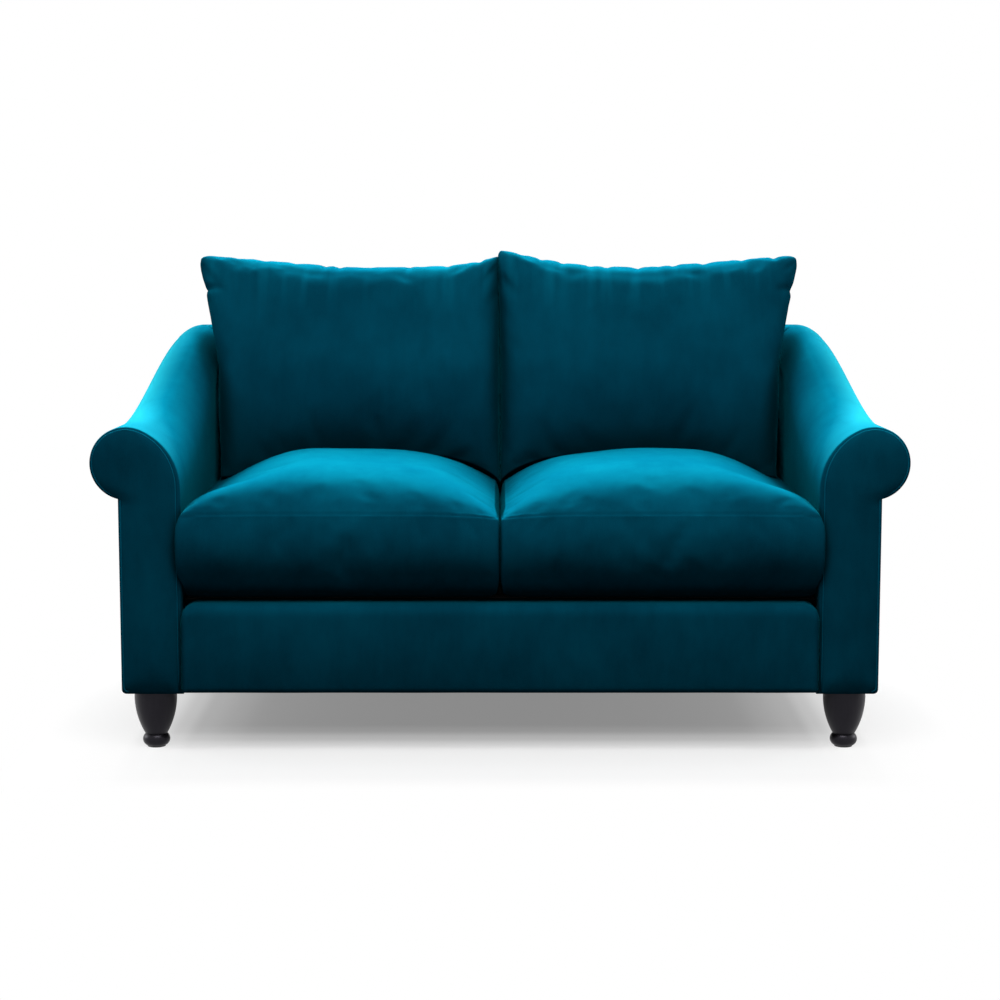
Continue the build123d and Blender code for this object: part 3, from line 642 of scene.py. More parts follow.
def arm_face(side):
    """Facing on the arm's front, slightly domed by its padding, in level rows from edge to edge."""
    inset = FACING_INSET - FACING_LAP
    flat = arm_outline(EDGE_ROLL, inset)
    crown = int(np.argmax(flat[:, 1]))
    inner, outer = flat[: crown + 1], flat[crown:][::-1]
    outer = outer[np.argsort(outer[:, 1], kind="stable")]
    low, high = Z_BASE + inset, flat[crown, 1] - 0.4
    rows = []
    for z in low + (high - low) * np.sin(np.linspace(0, pi / 2, 46)) ** 1.15:
        left, right = (np.interp(z, edge[:, 1], edge[:, 0]) for edge in (inner, outer))
        x = left + (right - left) * eased(17)
        room = np.minimum(np.minimum(x - left, right - x), np.minimum(high - z, z - low))
        dome = 0.6 + FACING_DOME * puff(np.clip(room, 0, FACING_EDGE) / FACING_EDGE, 2.0, 1.3)
        rows.append(np.column_stack([x, Y_FACE - dome, np.full(len(x), z)]))
    points, faces = backed(np.array(rows), 1, Y_FACE + FACING_LAP)
    return sided(points, side), faces


def arm_cord(side):
    """Fine piping round the facing."""
    flat = arm_outline(EDGE_ROLL, FACING_INSET - PIPING_RADIUS)
    points, faces = tube(at_run(flat, -PIPING_PROUD), PIPING_RADIUS, PIPING_SIDES)
    return sided(points, side), faces


def make_arms():
    for name, side in (("left", -1), ("right", 1)):
        cover = piece(f"{name}_arm_cover", *arm_cover(side), keep_sharp=48)
        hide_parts(f"{name}_arm_upholstery")
        face = piece(f"{name}_arm_face", *arm_face(side), keep_sharp=60)
        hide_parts(f"{name}_arm_facing")
        cord = piece(f"{name}_arm_cord", *arm_cord(side))
        # The lit copy of the velvet paints a highlight on the cord
        cord.data.materials[0] = CORD_VELVET_LIT
        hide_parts(f"{name}_arm_piping")


# Front border, deck and back


BORDER_HALF = 628.0
BORDER_PROUD = 13.0
BORDER_CORNER = 36.0
BORDER_ROLLS = (11.0, 20.0, 9.0)
BORDER_SWELL = 5.0
BORDER_END = 0.08
BORDER_BACK_RUN = 44.5
BOARD_RUNS = (37.0, 44.0)
DECK_RUNS = (45.0, 774.0)
DECK_THICK = 21.0
TOP_ROLL = 58.0
PAD_SWELL = 3.0
PAD_BEND_HEIGHT = 717.0
BACK_REAR_RUN = 898.0
CORNER_STEPS = 14
WRAP_EDGE = 1.5
WRAP_CORNER = 65.0
WRAP_ROLL = 12.0
WRAP_LAP = 22.0
WRAP_RUNS = (850.0, 856.0, 864.0, 874.0, 886.0)
PANEL_INSET = 14.0


def front_border():
    """Padded border standing a little proud of the arms, with rounded top corners and soft edges."""
    half, low, top = BORDER_HALF, Z_BASE + 5.0, DECK_HEIGHT - 0.5
    side_roll, top_roll, low_roll = BORDER_ROLLS
    end = np.linspace(0, BORDER_END, 18)
    shares = np.concatenate([end, np.linspace(BORDER_END, 1 - BORDER_END, 60)[1:-1], 1 - end[::-1]])
    columns = []
    for x, z, room, crest, upward in arched(half, BORDER_CORNER, low, top - BORDER_CORNER, shares, 33):
        roll = side_roll + (top_roll - side_roll) * upward ** 2
        edge = roll * (1 - puff(np.clip(room, 0, None) / (1.3 * roll), 2.0, 2.0))
        hem = low_roll * (1 - puff((z - low + 1.0) / (1.2 * low_roll), 2.0, 2.0))
        belly = np.sin(pi * np.clip((z - low) / (crest - low), 0, 1) ** 0.9)
        swell = BORDER_SWELL * belly * smooth(half - np.abs(x), 0, 90) + 0.8 * lumps(x, z, 120.0, 3.1)
        depth = np.minimum(np.hypot(edge, hem), np.maximum(roll, low_roll))
        columns.append(np.column_stack([x, Y_FACE - BORDER_PROUD + depth - swell, z]))
    front = np.array(columns)
    within = X_INNER - 0.6
    back = front.copy()
    back[:, :, 0] = np.clip(back[:, :, 0], -within, within)
    back[:, :, 1] = Y_FACE + BORDER_BACK_RUN
    step = loop_points(front)
    step[:, 0] = np.clip(step[:, 0], -within, within)
    step[:, 1] = np.maximum(step[:, 1] + 0.3, Y_FACE - 1.2)
    # Cloth-covered board behind the rounded corners
    heights = np.linspace(low + 2.0, top - 2.0, 9)
    spots = np.linspace(-within, within, 41)
    board = np.array([[(x, Y_FACE + BOARD_RUNS[0], z) for z in heights] for x in spots])
    return joined([stitched(front, back, [step])[:2], backed(board, 1, Y_FACE + BOARD_RUNS[1])])


def seat_deck():
    """Cloth platform under the seat cushions, drawn down a little between its edges."""
    start, end = DECK_RUNS
    x, run = np.meshgrid((X_INNER - 0.7) * crowded(49), np.linspace(start, end, 41))
    room = np.minimum(X_INNER - np.abs(x), np.minimum(run - start, end - run))
    sag = 3.0 * smooth(room, 0, 120) - 1.2 * smooth(room, 0, 14) + 0.5 * lumps(x, run, 90.0, 5.7)
    top = np.stack([x, Y_FACE + run, DECK_HEIGHT - 1.5 - sag], axis=2)
    return backed(top, 2, DECK_HEIGHT - DECK_THICK)


def back_profile():
    """Side view of the inside back as (run, z): up its leaning face and over the rolled top."""
    roll_z = ARM_REAR_HEIGHT - TOP_ROLL
    roll_run = BACK_FOOT_RUN + (roll_z - DECK_HEIGHT) * tan(BACK_LEAN)
    depth = ARM_LENGTH - roll_run
    radius = (depth ** 2 + TOP_ROLL ** 2) / (2 * TOP_ROLL)
    line = straight((BACK_FOOT_RUN, DECK_HEIGHT), (roll_run, roll_z), 26)
    start = pi / 2 + np.arcsin(depth / radius)
    return np.array(line + arc((ARM_LENGTH, ARM_REAR_HEIGHT - radius), radius, start, pi / 2, 12))


def arm_inside(run, z):
    """How far out an arm's inner side lies at a run and height."""
    centre, radius, shoulder_centre, shoulder = arm_shape(run)
    join = shoulder_centre[1] + shoulder * sin(SHOULDER_TURN)
    if z <= shoulder_centre[1]:
        return X_INNER
    if z <= join:
        return shoulder_centre[0] - sqrt(shoulder ** 2 - (z - shoulder_centre[1]) ** 2)
    return centre[0] - sqrt(max(radius ** 2 - (z - centre[1]) ** 2, 0.0))


def back_pad():
    """Inside back: leaning padded face with a rolled top, as wide as the room between the arms."""
    line = back_profile()
    rows = []
    for run, z in line:
        half = arm_inside(run, z) - 0.4 * smooth(z, 730, 745)
        x = half * crowded(61)
        room = half - np.abs(x)
        upper = smooth(z, DECK_HEIGHT, DECK_HEIGHT + 60) * (1 - smooth(z, 700, 760))
        swell = PAD_SWELL * smooth(room, 0, 60) * upper
        edge = 5.0 * (1 - puff(np.clip(room, 0, 10) / 10.0, 2.0, 2.0)) * smooth(z, 560, 700)
        height = z - 0.3 * edge * smooth(z, 740, 790)
        rows.append(np.column_stack([x, Y_FACE + run - swell + 0.5 * edge, height]))
    slope = np.clip((PAD_BEND_HEIGHT - line[:, 1]) * tan(BACK_LEAN), 0, None)
    return backed(np.array(rows), 1, Y_FACE + ARM_LENGTH - slope[:, None])


def arch_line(half, low, top, corner):
    """Outline of the back seen from behind, from the lower left round to the lower right, as (x, z)."""
    spring, inner = top - corner, half - corner
    line = straight((-half, low), (-half, spring), 22)
    line += arc((-inner, spring), corner, pi, pi / 2, CORNER_STEPS)
    line += straight((-inner, top), (inner, top), 50)[1:]
    line += arc((inner, spring), corner, pi / 2, 0, CORNER_STEPS)
    line += straight((half, spring), (half, low), 22)[1:]
    return np.array(line)


def back_wrap():
    """Padding round the top and ends of the back frame, rolled at its rear edge."""
    half, top = X_OUTER + WRAP_EDGE, ARM_REAR_HEIGHT

    def ring(inset, run):
        flat = arch_line(half - inset, Z_BASE, top - inset, max(WRAP_CORNER - inset, 1.0))
        return at_run(flat, run)

    rings = [ring(PANEL_INSET, ARM_LENGTH + 0.5)]
    for run in WRAP_RUNS:
        rings.append(ring(-0.8 * sin(pi * (run - ARM_LENGTH) / (BACK_REAR_RUN - ARM_LENGTH)), run))
    for turn in np.linspace(0, pi / 2, 7)[1:]:
        rings.append(ring(WRAP_ROLL * (1 - cos(turn)), BACK_REAR_RUN - WRAP_ROLL * (1 - sin(turn))))
    rings += [ring(WRAP_LAP, BACK_REAR_RUN + 0.2), ring(WRAP_LAP, BACK_REAR_RUN - 10.0)]
    points, index, faces = ringed(rings)
    last, first = index[-1], index[0]
    faces += [(last[c], last[c + 1], first[c + 1], first[c]) for c in range(len(first) - 1)]
    return points, plain([*faces, index[:, 0], index[:, -1]])


def outside_back():
    """Flat outside back with a soft edge and a slight swell."""
    half, corner = X_OUTER + WRAP_EDGE - PANEL_INSET, WRAP_CORNER - PANEL_INSET
    low, spring = Z_BASE + 1.0, ARM_REAR_HEIGHT - WRAP_CORNER
    bend = corner * (1 - np.cos(np.linspace(0, pi / 2, 16))) / (2 * half)
    shares = np.concatenate([bend, np.linspace(bend[-1], 1 - bend[-1], 56)[1:-1], 1 - bend[::-1]])
    columns = []
    for x, z, room, crest, _ in arched(half, corner, low, spring, shares, 41):
        room = np.minimum(room, np.minimum(z - low, crest - z))
        rise = 4.5 * puff(np.clip(room, 0, 7) / 7.0, 2.0, 2.0) + 2.2 * smooth(room, 5, 200)
        rise = rise + 0.6 * lumps(x, z, 170.0, 8.3) * smooth(room, 0, 60)
        columns.append(np.column_stack([x, Y_FACE + BACK_REAR_RUN + rise, z]))
    return backed(np.array(columns), 1, Y_FACE + BACK_REAR_RUN - 1.0)


def make_frame_cloth():
    border = piece("front_border_cover", *front_border())
    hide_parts("front_border")
    deck = piece("seat_deck_cover", *seat_deck(), slot="deck_cloth")
    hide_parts("seat_deck")
    pad = piece("inside_back_cover", *back_pad(), keep_sharp=60)
    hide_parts("back_pad")
    wrap = piece("back_wrap_cover", *back_wrap(), keep_sharp=60)
    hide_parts("back_border")
    rear = piece("outside_back_cover", *outside_back(), keep_sharp=70)
    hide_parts("outside_back_panel")


# Loose cushions


SIM_FRAMES = 20
STITCH_REACH = 40.0
LIP_AWAY = 2.3
CLEARANCE = 0.5
PRESS_REACH = 60.0


def vertex_values(mesh, name):
    """One row of three numbers for each point of a mesh, such as its normal."""
    flat = np.empty(len(mesh.vertices) * 3)
    mesh.vertices.foreach_get(name, flat)
    return flat.reshape(-1, 3)


def coordinates(mesh):
    return vertex_values(mesh, "co") / MM


def put_coordinates(mesh, points):
    mesh.vertices.foreach_set("co", (np.asarray(points, float) * MM).ravel())
    mesh.update()


def evaluated(obj):
    """Points of a piece with its modifiers."""
    shown = obj.evaluated_get(bpy.context.evaluated_depsgraph_get())
    mesh = shown.to_mesh()
    points = coordinates(mesh)
    shown.to_mesh_clear()
    return points


def settled(obj, held, pressure, growth, cap):
    """Where a cushion's points go when it swells as cloth, each kept within a cap of where it was."""
    before = coordinates(obj.data)
    group = obj.vertex_groups.new(name="held")
    for weight, indices in held:
        group.add([int(i) for i in indices], weight, "REPLACE")
    modifier = obj.modifiers.new("cloth", "CLOTH")
    cloth = modifier.settings
    cloth.quality = 6
    cloth.mass = 0.25
    cloth.tension_stiffness = 12.0
    cloth.compression_stiffness = 12.0
    cloth.shear_stiffness = 5.0
    cloth.bending_stiffness = 0.4
    cloth.vertex_group_mass = group.name
    cloth.use_pressure = True
    cloth.uniform_pressure_force = pressure
    cloth.shrink_min = -growth
    cloth.effector_weights.gravity = 0.0
    modifier.collision_settings.use_collision = False
    modifier.point_cache.frame_start = 1
    modifier.point_cache.frame_end = SIM_FRAMES
    for number in range(1, SIM_FRAMES + 1):
        scene.frame_set(number)
    after = evaluated(obj)
    obj.modifiers.remove(modifier)
    obj.vertex_groups.clear()
    scene.frame_set(1)
    move = after - before
    length = np.maximum(np.linalg.norm(move, axis=1), 1e-6)[:, None]
    return before + move * (cap * np.tanh(length / cap) / length)


def subdivided(obj):
    """One subdivision kept in the mesh. The old points come first in the new mesh."""
    refine = obj.modifiers.new("refine", "SUBSURF")
    refine.levels = 1
    shown = obj.evaluated_get(bpy.context.evaluated_depsgraph_get())
    mesh = bpy.data.meshes.new_from_object(shown)
    obj.modifiers.remove(refine)
    old = obj.data
    mesh.name = old.name
    obj.data = mesh
    bpy.data.meshes.remove(old)


def sewn(obj, loops, depth, width, lip):
    """Draws a seam into a piece along lines of its first points, with a soft lip on both sides."""
    mesh = obj.data
    points = coordinates(mesh)
    line = []
    for loop in loops:
        path = points[np.asarray(loop, int)]
        ahead = np.roll(path, -1, 0)
        path, ahead = (end[np.linalg.norm(ahead - path, axis=1) < STITCH_REACH] for end in (path, ahead))
        line += [path + (ahead - path) * share for share in (0.0, 0.25, 0.5, 0.75)]
    line = np.concatenate(line)
    tree = kdtree.KDTree(len(line))
    for i, spot in enumerate(line):
        tree.insert(spot, i)
    tree.balance()
    away = np.array([tree.find(spot)[2] for spot in points])
    lips = lip * np.exp(-(((away - LIP_AWAY * width) / width) ** 2))
    groove = depth * np.exp(-((away / width) ** 2))
    put_coordinates(mesh, points + vertex_values(mesh, "normal") * (lips - groove)[:, None])


def pressed(name, other, direction):
    """Moves the points of a piece that lie inside another piece one way, to just outside that piece."""
    mesh, shape = (bpy.data.objects[n].data for n in (name, other))
    walls = coordinates(shape)
    tree = BVHTree.FromPolygons(walls.tolist(), [list(face.vertices) for face in shape.polygons])
    points = coordinates(mesh)
    way = Vector(direction)
    for i in np.flatnonzero(np.all((points > walls.min(0)) & (points < walls.max(0)), axis=1)):
        hit, normal, _, _ = tree.ray_cast(Vector(points[i]), way, PRESS_REACH)
        if hit is not None and normal.dot(way) > 0:
            points[i] = hit + way * CLEARANCE
    put_coordinates(mesh, points)


# Seat cushions


SEAT_FRONT = -15.0
SEAT_REAR = 691.7
SEAT_MIDDLE = 338.4
SEAT_SEAM = 471.0
SEAT_WIDTH = 623.0
SEAT_CROWN = 83.0
SEAT_BULGE = 11.0
SEAT_TUCK = 42.0
TUCK_REACH = 135.0
GAP_ROLL = 355.0
ARM_ROLL_BACK = 216.0
ARM_ROLL_FRONT = 185.0
GAP_DRAW = 6.0
GAP_SIDE = 0.5
# Farthest out that a seat cushion reaches, beside the arm and in front of it
BESIDE_ARM = 623.4
BEFORE_ARM = 634.0


def seat_crown(x, run):
    """Height of the seat's top over its seam, x from the gap between the cushions."""
    gap = puff(x / GAP_ROLL, 2.6, 1.6)
    to_arm = SEAT_WIDTH - x
    arm_back = smooth(np.clip(to_arm / ARM_ROLL_BACK, 0, 1) ** 0.82, 0, 1)
    arm_front = puff(to_arm / ARM_ROLL_FRONT, 2.4, 1.5)
    front_share = 1 - smooth(run, 20, 170)
    arm = arm_back * (1 - front_share) + arm_front * front_share
    ahead = puff((run - SEAT_FRONT) / (SEAT_MIDDLE - SEAT_FRONT), 2.6, 1.75)
    behind = 1 - np.clip((run - SEAT_MIDDLE) / (SEAT_REAR - SEAT_MIDDLE), 0, 1) ** 2
    full = arm * ahead / np.maximum(arm + ahead - arm * ahead, 1e-3)
    return SEAT_CROWN * gap * full * behind


def round_arm(x, run):
    """1 at the front outer corner of a seat cushion, where it swells round the arm's front."""
    return (1 - smooth(run, -16, 10)) * smooth(x, 520, 622)


def seat_cushion(seed):
    """Right-hand seat cushion: crowned top, bulging boxing and flat underside."""
    across, along = np.meshgrid(crowded(61, 0.87), crowded(69, 0.87))
    half_x, half_y = SEAT_WIDTH / 2 - 1.5, (SEAT_REAR - SEAT_FRONT) / 2
    middle_x = SEAT_WIDTH / 2 + GAP_SIDE
    pull = 2.0 * (np.abs(across) * np.abs(along)) ** 14
    x = middle_x + np.sign(across) * (np.abs(across) * half_x - pull)
    run = SEAT_MIDDLE + np.sign(along) * (np.abs(along) * half_y - pull)
    x = x + 5.0 * round_arm(x, run)
    drawn = GAP_DRAW * np.exp(-(x - GAP_SIDE) / 22.0) * smooth(run, 0, 90)
    x = x + drawn
    droop = np.where(across > 0, 4.0, 8.0) * np.clip((np.abs(across) - 0.5) / 0.5, 0, 1) ** 2
    seam = SEAT_SEAM + 2.5 - droop
    crown = seat_crown(x - GAP_SIDE, run)
    height = seam + crown + 2.0 * lumps(x, run, 130.0, seed) * np.clip(crown / 50.0, 0, 1)
    top = np.stack([x, Y_FACE + run, height], axis=2)
    loop = loop_points(np.stack([x, run, seam, drawn], axis=2))
    loop_x, loop_run, loop_z, gap_drawn = loop.T
    ahead = np.roll(loop, -1, 0) - np.roll(loop, 1, 0)
    out = np.array([ahead[:, 1], -ahead[:, 0]])
    out_x, out_run = out / np.linalg.norm(out, axis=0)
    low = DECK_HEIGHT + 1.0
    # The lower edge is drawn in evenly along the front and the rear, corners included
    from_front = smooth(loop_run, SEAT_FRONT, SEAT_FRONT + TUCK_REACH)
    to_rear = smooth(loop_run, SEAT_REAR - TUCK_REACH, SEAT_REAR)
    tuck = SEAT_TUCK * (1 - from_front - to_rear)
    rims = []
    for share in eased(21)[1:-1]:
        bulge = (1.0 + SEAT_BULGE * np.abs(out_run)) * np.sin(pi * share ** 0.7)
        rim_x = loop_x + out_x * (bulge - 3.0 * share ** 5) - gap_drawn * smooth(share, 0, 0.4)
        rim_run = loop_run + out_run * bulge + tuck * share ** 5
        swell = 6.0 * round_arm(rim_x, rim_run) * min(1.0, 4 * share) * (1 - share ** 6)
        z = loop_z + (low + 10.0 - loop_z) * share
        rims.append(np.column_stack([rim_x + swell, Y_FACE + rim_run, z]))
    under_x = middle_x + (x - middle_x) * (1 - 14.0 / half_x)
    under_run = SEAT_MIDDLE + (run - SEAT_MIDDLE) * (1 - 40.0 / half_y)
    edge = np.maximum(np.abs(across), np.abs(along))
    bottom = np.stack([under_x, Y_FACE + under_run, low + 5.0 * edge ** 12], axis=2)
    return stitched(top, bottom, rims)


def make_seat_cushions():
    for name, side, seed in (("left", -1, 11.3), ("right", 1, 4.9)):
        points, faces, _, loops, bottom = seat_cushion(seed)
        body = f"{name}_seat_cushion"
        cushion = piece(body, sided(points, side), faces, body=body)
        held = [(1.0, bottom.ravel()), (1.0, loops[-2]), (0.9, loops[0])]
        moved = sided(settled(cushion, held, pressure=1.1, growth=0.006, cap=8.0), side)
        beside = np.where(moved[:, 1] > Y_FACE + 2.0, BESIDE_ARM, BEFORE_ARM)
        moved[:, 0] = np.clip(moved[:, 0], 0.6, beside)
        moved[:, 2] = np.maximum(moved[:, 2], DECK_HEIGHT + 0.8)
        put_coordinates(cushion.data, sided(moved, side))
        subdivided(cushion)
        # The seam fades out where the cushion wraps round the arm's front corner
        seam = [i for i in loops[0] if points[i][0] < 596 or points[i][1] > Y_FACE + 30.0]
        low_seam = [i for i in loops[-1] if points[i][0] < 560 or points[i][1] > Y_FACE + 60.0]
        sewn(cushion, [seam, low_seam], depth=1.15, width=2.2, lip=0.3)
        pressed(body, "inside_back_cover", (0.0, -1.0, 0.0))
        pressed("inside_back_cover", body, (0.0, 1.0, 0.0))
        pressed(body, f"{name}_arm_cover", (-side, 0.0, 0.0))
        pressed(body, f"{name}_arm_cord", (0.0, -1.0, 0.0))
        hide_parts(f"{body}_cover", f"{body}_core")


# Back cushions


LEAN = radians(18.0)
BASE_RUN = 573.7
BASE_Z = 521.2
CUSHION_TOP = 957.0
CUSHION_RISE = (CUSHION_TOP - BASE_Z) / cos(LEAN)
CUSHION_REACH = 660.0
EDGE_FOOT = 612.0
EDGE_SPREAD = 9.0
EDGE_FLARE = 52.0
TOP_DIP = 30.0
DIP_MIDDLE = 300.0
DIP_OUTER = 373.0
REST_RUN = 505.0
BELLY = 0.42
GUSSET = 40.0
FRONT_DEPTH = 105.0
REAR_DEPTH = 123.0
RIM_STEPS = 7
PAD_PROUD = 3.5
PAD_TOP = 734.0
OVER_PAD = 70.0


def cushion_edge(up):
    """Outer edge of a back cushion, from the gap plane: pressed upright by the arm, flaring above it."""
    flare = np.clip((up - 190.0) / 268.0, 0, None) ** 1.15
    return EDGE_FOOT + EDGE_SPREAD * smooth(up, -40, 150) + EDGE_FLARE * flare


def top_dip(x, inner_power):
    """How far the top edge hangs below the outer corner."""
    outer = 1 - np.clip((x - DIP_MIDDLE) / DIP_OUTER, 0, 1) ** 1.15
    inner = 1 - np.clip((DIP_MIDDLE - x) / DIP_MIDDLE, 0, 1) ** inner_power
    return TOP_DIP * np.minimum(outer, inner)


def base_drop(x):
    """How far the cushion's base sinks beside the seat's crown."""
    follow = 0.98 - 0.16 * smooth(x, 20, 140)
    return follow * (seat_crown(320.0, REST_RUN) - seat_crown(np.clip(x, 1.0, 622.0), REST_RUN))


def leaned(x, up, depth):
    """Points of a leaning back cushion, from heights up its middle plane and depths behind it."""
    run = BASE_RUN + up * sin(LEAN) + depth * cos(LEAN)
    return np.stack([x, Y_FACE + run, BASE_Z + up * cos(LEAN) - depth * sin(LEAN)], axis=-1)


def back_cushion(seed, lead, corner_lift, narrower, inner_power):
    """Right-hand back cushion: full front and rear panels on a narrow gusset.
    lead brings its inner top corner forward, corner_lift raises it and narrower draws in its outer edge.
    inner_power is how sharply the top edge turns up to that corner."""
    outward, upward = np.meshgrid((crowded(63, 0.9) + 1) / 2, (crowded(49, 0.86) + 1) / 2)
    rough_x = outward * CUSHION_REACH
    lifted = corner_lift * (1 - smooth(rough_x, 0, 330))
    up_top = CUSHION_RISE - 2.0 - top_dip(rough_x, inner_power) + lifted
    tip = np.abs(2 * outward - 1) * np.clip(2 * upward - 1, 0, 1)
    corner = tip ** 26 * np.where(outward > 0.5, 1.0, 0.5)
    up = upward * up_top - 9.0 * corner - base_drop(rough_x) * (1 - upward) ** 2.2
    edge = cushion_edge(up) - narrower
    x = 0.7 + outward * (edge - 0.7) - np.sign(outward - 0.5) * 8.0 * corner
    wall = np.minimum(puff(outward / 0.11, 2.2, 2.0), puff((1 - outward) / 0.08, 2.2, 2.0))
    wall = wall * (1 - 0.22 * np.abs(2 * outward - 1) ** 2.2)
    above = np.clip((upward - BELLY) / (1 - BELLY), 0, 1)
    below = np.clip((BELLY - upward) / BELLY, 0, 1)
    rise = puff((1 - above) / 0.09, 2.2, 2.0) * (1 - 0.62 * above ** 1.4) * (1 - 0.6 * below ** 2)
    front = GUSSET / 2 + (FRONT_DEPTH - GUSSET / 2) * wall * rise
    rear_rise = puff(1 - above, 2.0, 1.2) * (1 - 0.35 * below ** 2)
    rear = GUSSET / 2 + (REAR_DEPTH - GUSSET / 2) * wall * rear_rise
    inner = (1 - smooth(x, 0, 200)) * smooth(up, 150, CUSHION_RISE)
    wave = 2.2 * lumps(x, up, 120.0, seed) * wall
    across = x - 0.5 * max(lead, 0.0) * inner
    front_grid = leaned(across, up, -front - wave - lead * inner)
    rear_grid = leaned(across, up, rear - lead * inner)
    # The rear lies flat where it rests on the inside back
    z = rear_grid[..., 2]
    up_pad = np.clip(z, DECK_HEIGHT, PAD_TOP) - DECK_HEIGHT
    face = Y_FACE + BACK_FOOT_RUN + up_pad * tan(BACK_LEAN) - PAD_PROUD
    rear_grid[..., 1] = np.minimum(rear_grid[..., 1], face + OVER_PAD * smooth(z, PAD_TOP, 800.0))
    first, last = loop_points(front_grid), loop_points(rear_grid)
    rims = [first + (last - first) * i / RIM_STEPS for i in range(1, RIM_STEPS)]
    return stitched(front_grid, rear_grid, rims)


NOTCH_UP = 376.0
NOTCH_TALL = 8.0
NOTCH_DEPTH = 6.0
GATHER_SPAN = (45.0, 610.0)
GATHER_STEPS = (30.0, 88.0)
GATHER_WIDTH = 8.5
GATHER_DEPTH = 4.2
GATHER_REACH = 55.0
SEAM_DROP = 0.8
SEAM_REACH = 8.0


def notched(obj, side):
    """Pinches the outer edge of a back cushion near its top, with a short crease running in from it."""
    points = sided(coordinates(obj.data), side)
    run = points[:, 1] - Y_FACE - BASE_RUN
    rise = points[:, 2] - BASE_Z
    up = rise * cos(LEAN) + run * sin(LEAN)
    depth = run * cos(LEAN) - rise * sin(LEAN)
    inside = cushion_edge(up) - points[:, 0]
    fall = NOTCH_DEPTH * np.exp(-(((up - NOTCH_UP + 0.25 * inside) / NOTCH_TALL) ** 2))
    points[:, 0] -= fall * np.exp(-np.clip(inside, 0, None) / 16.0)
    sunk = fall * (1 - smooth(inside, 4, 62)) * smooth(-depth, -4, 14)
    points[:, 1] += sunk * cos(LEAN)
    points[:, 2] -= sunk * sin(LEAN)
    put_coordinates(obj.data, sided(points, side))


def gathered(obj, side, seam, seed):
    """Draws short gathers into the front of a back cushion below its top seam."""
    mesh = obj.data
    points = sided(coordinates(mesh), side)
    normals = sided(vertex_values(mesh, "normal"), side)
    line = points[np.asarray(seam, int)]
    line = line[np.argsort(line[:, 0])]
    edge_y, edge_z = (np.interp(points[:, 0], line[:, 0], line[:, i]) for i in (1, 2))
    away = np.hypot(points[:, 1] - edge_y, points[:, 2] - edge_z)
    chance = np.random.default_rng(int(seed * 10))
    fold = np.zeros(len(points))
    spot, end = GATHER_SPAN
    while spot < end:
        strength, slant = chance.uniform(0.3, 1.0), chance.uniform(-0.25, 0.25)
        fold += strength * np.exp(-(((points[:, 0] - spot - slant * away) / GATHER_WIDTH) ** 2))
        spot += chance.uniform(*GATHER_STEPS)
    points -= normals * (GATHER_DEPTH * fold * np.exp(-away / GATHER_REACH))[:, None]
    points[:, 2] -= SEAM_DROP * fold * np.exp(-away / SEAM_REACH)
    put_coordinates(mesh, sided(points, side))


BACK_FORMS = (
    ("left", -1, {"seed": 21.7, "lead": -7.0, "corner_lift": 2.0, "narrower": 3.0, "inner_power": 4.5}),
    ("right", 1, {"seed": 33.2, "lead": 9.0, "corner_lift": 10.0, "narrower": 9.0, "inner_power": 2.8}),
)


def make_back_cushions():
    for name, side, form in BACK_FORMS:
        points, faces, _, loops, rear = back_cushion(**form)
        body = f"{name}_back_cushion"
        cushion = piece(body, sided(points, side), faces, body=body)
        base = [i for i in loops[3] if points[i][2] < 560]
        held = [(1.0, rear.ravel()), (0.7, loops[0]), (1.0, loops[-1]), (1.0, base)]
        moved = sided(settled(cushion, held, pressure=1.6, growth=0.014, cap=10.0), side)
        # Puckers stay along the top edge and fade down the sides
        beside = 1 - smooth(np.minimum(points[:, 0], cushion_edge(0.0) - points[:, 0]), 20, 130)
        keep = 1 - 0.75 * beside * (1 - smooth(points[:, 2], 820, 920))
        put_coordinates(cushion.data, sided(points + (moved - points) * keep[:, None], side))
        subdivided(cushion)
        upper = [i for i in loops[0] if points[i][2] > 760]
        lower = [i for i in loops[0] if points[i][2] <= 770]
        sewn(cushion, [upper, loops[-1]], depth=1.6, width=2.4, lip=0.7)
        sewn(cushion, [lower], depth=0.4, width=3.0, lip=0.1)
        gathered(cushion, side, [i for i in upper if points[i][2] > 880], form["seed"])
        notched(cushion, side)
        pressed(body, f"{name}_seat_cushion", (0.0, sin(LEAN), cos(LEAN)))
        # The darker, shaded copy of the velvet, with painted light lines
        cushion.data.materials[0] = BACK_VELVET_SHADED
        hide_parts(f"{body}_cover", f"{body}_core")
    pressed("right_back_cushion", "left_back_cushion", (1.0, 0.0, 0.0))
    pressed("left_back_cushion", "right_back_cushion", (-1.0, 0.0, 0.0))


# Frame parts kept from the model


NODE_SLOTS = (
    ("_leg", "leg_wood"),
    ("leg_glides", "glides"),
    ("leg_bolts", "fixings"),
    ("leg_nuts", "fixings"),
    ("spring_clips", "spring_steel"),
    ("seat_springs", "spring_steel"),
    ("webbing", "webbing"),
    ("dust_cover", "dust_cloth"),
)


def dress_nodes():
    """Gives each node left in view its material, by the end of its name. The rest are timber."""
    for name, node in frame["nodes"].items():
        if node.hide_render:
            continue
        slot = next((slot for ending, slot in NODE_SLOTS if name.endswith(ending)), "frame_timber")
        node.data.materials.clear()
        node.data.materials.append(MATERIAL[slot])


# Studio


def light_path_sum(tree):
    """1 for rays from the camera and for those seen in gloss or through glass."""
    path = tree.nodes.new("ShaderNodeLightPath")
    total = path.outputs["Is Camera Ray"]
    for name in ("Is Glossy Ray", "Is Transmission Ray"):
        node = tree.nodes.new("ShaderNodeMath")
        node.operation = "MAXIMUM"
        tree.links.new(total, node.inputs[0])
        tree.links.new(path.outputs[name], node.inputs[1])
        total = node.outputs["Value"]
    return total


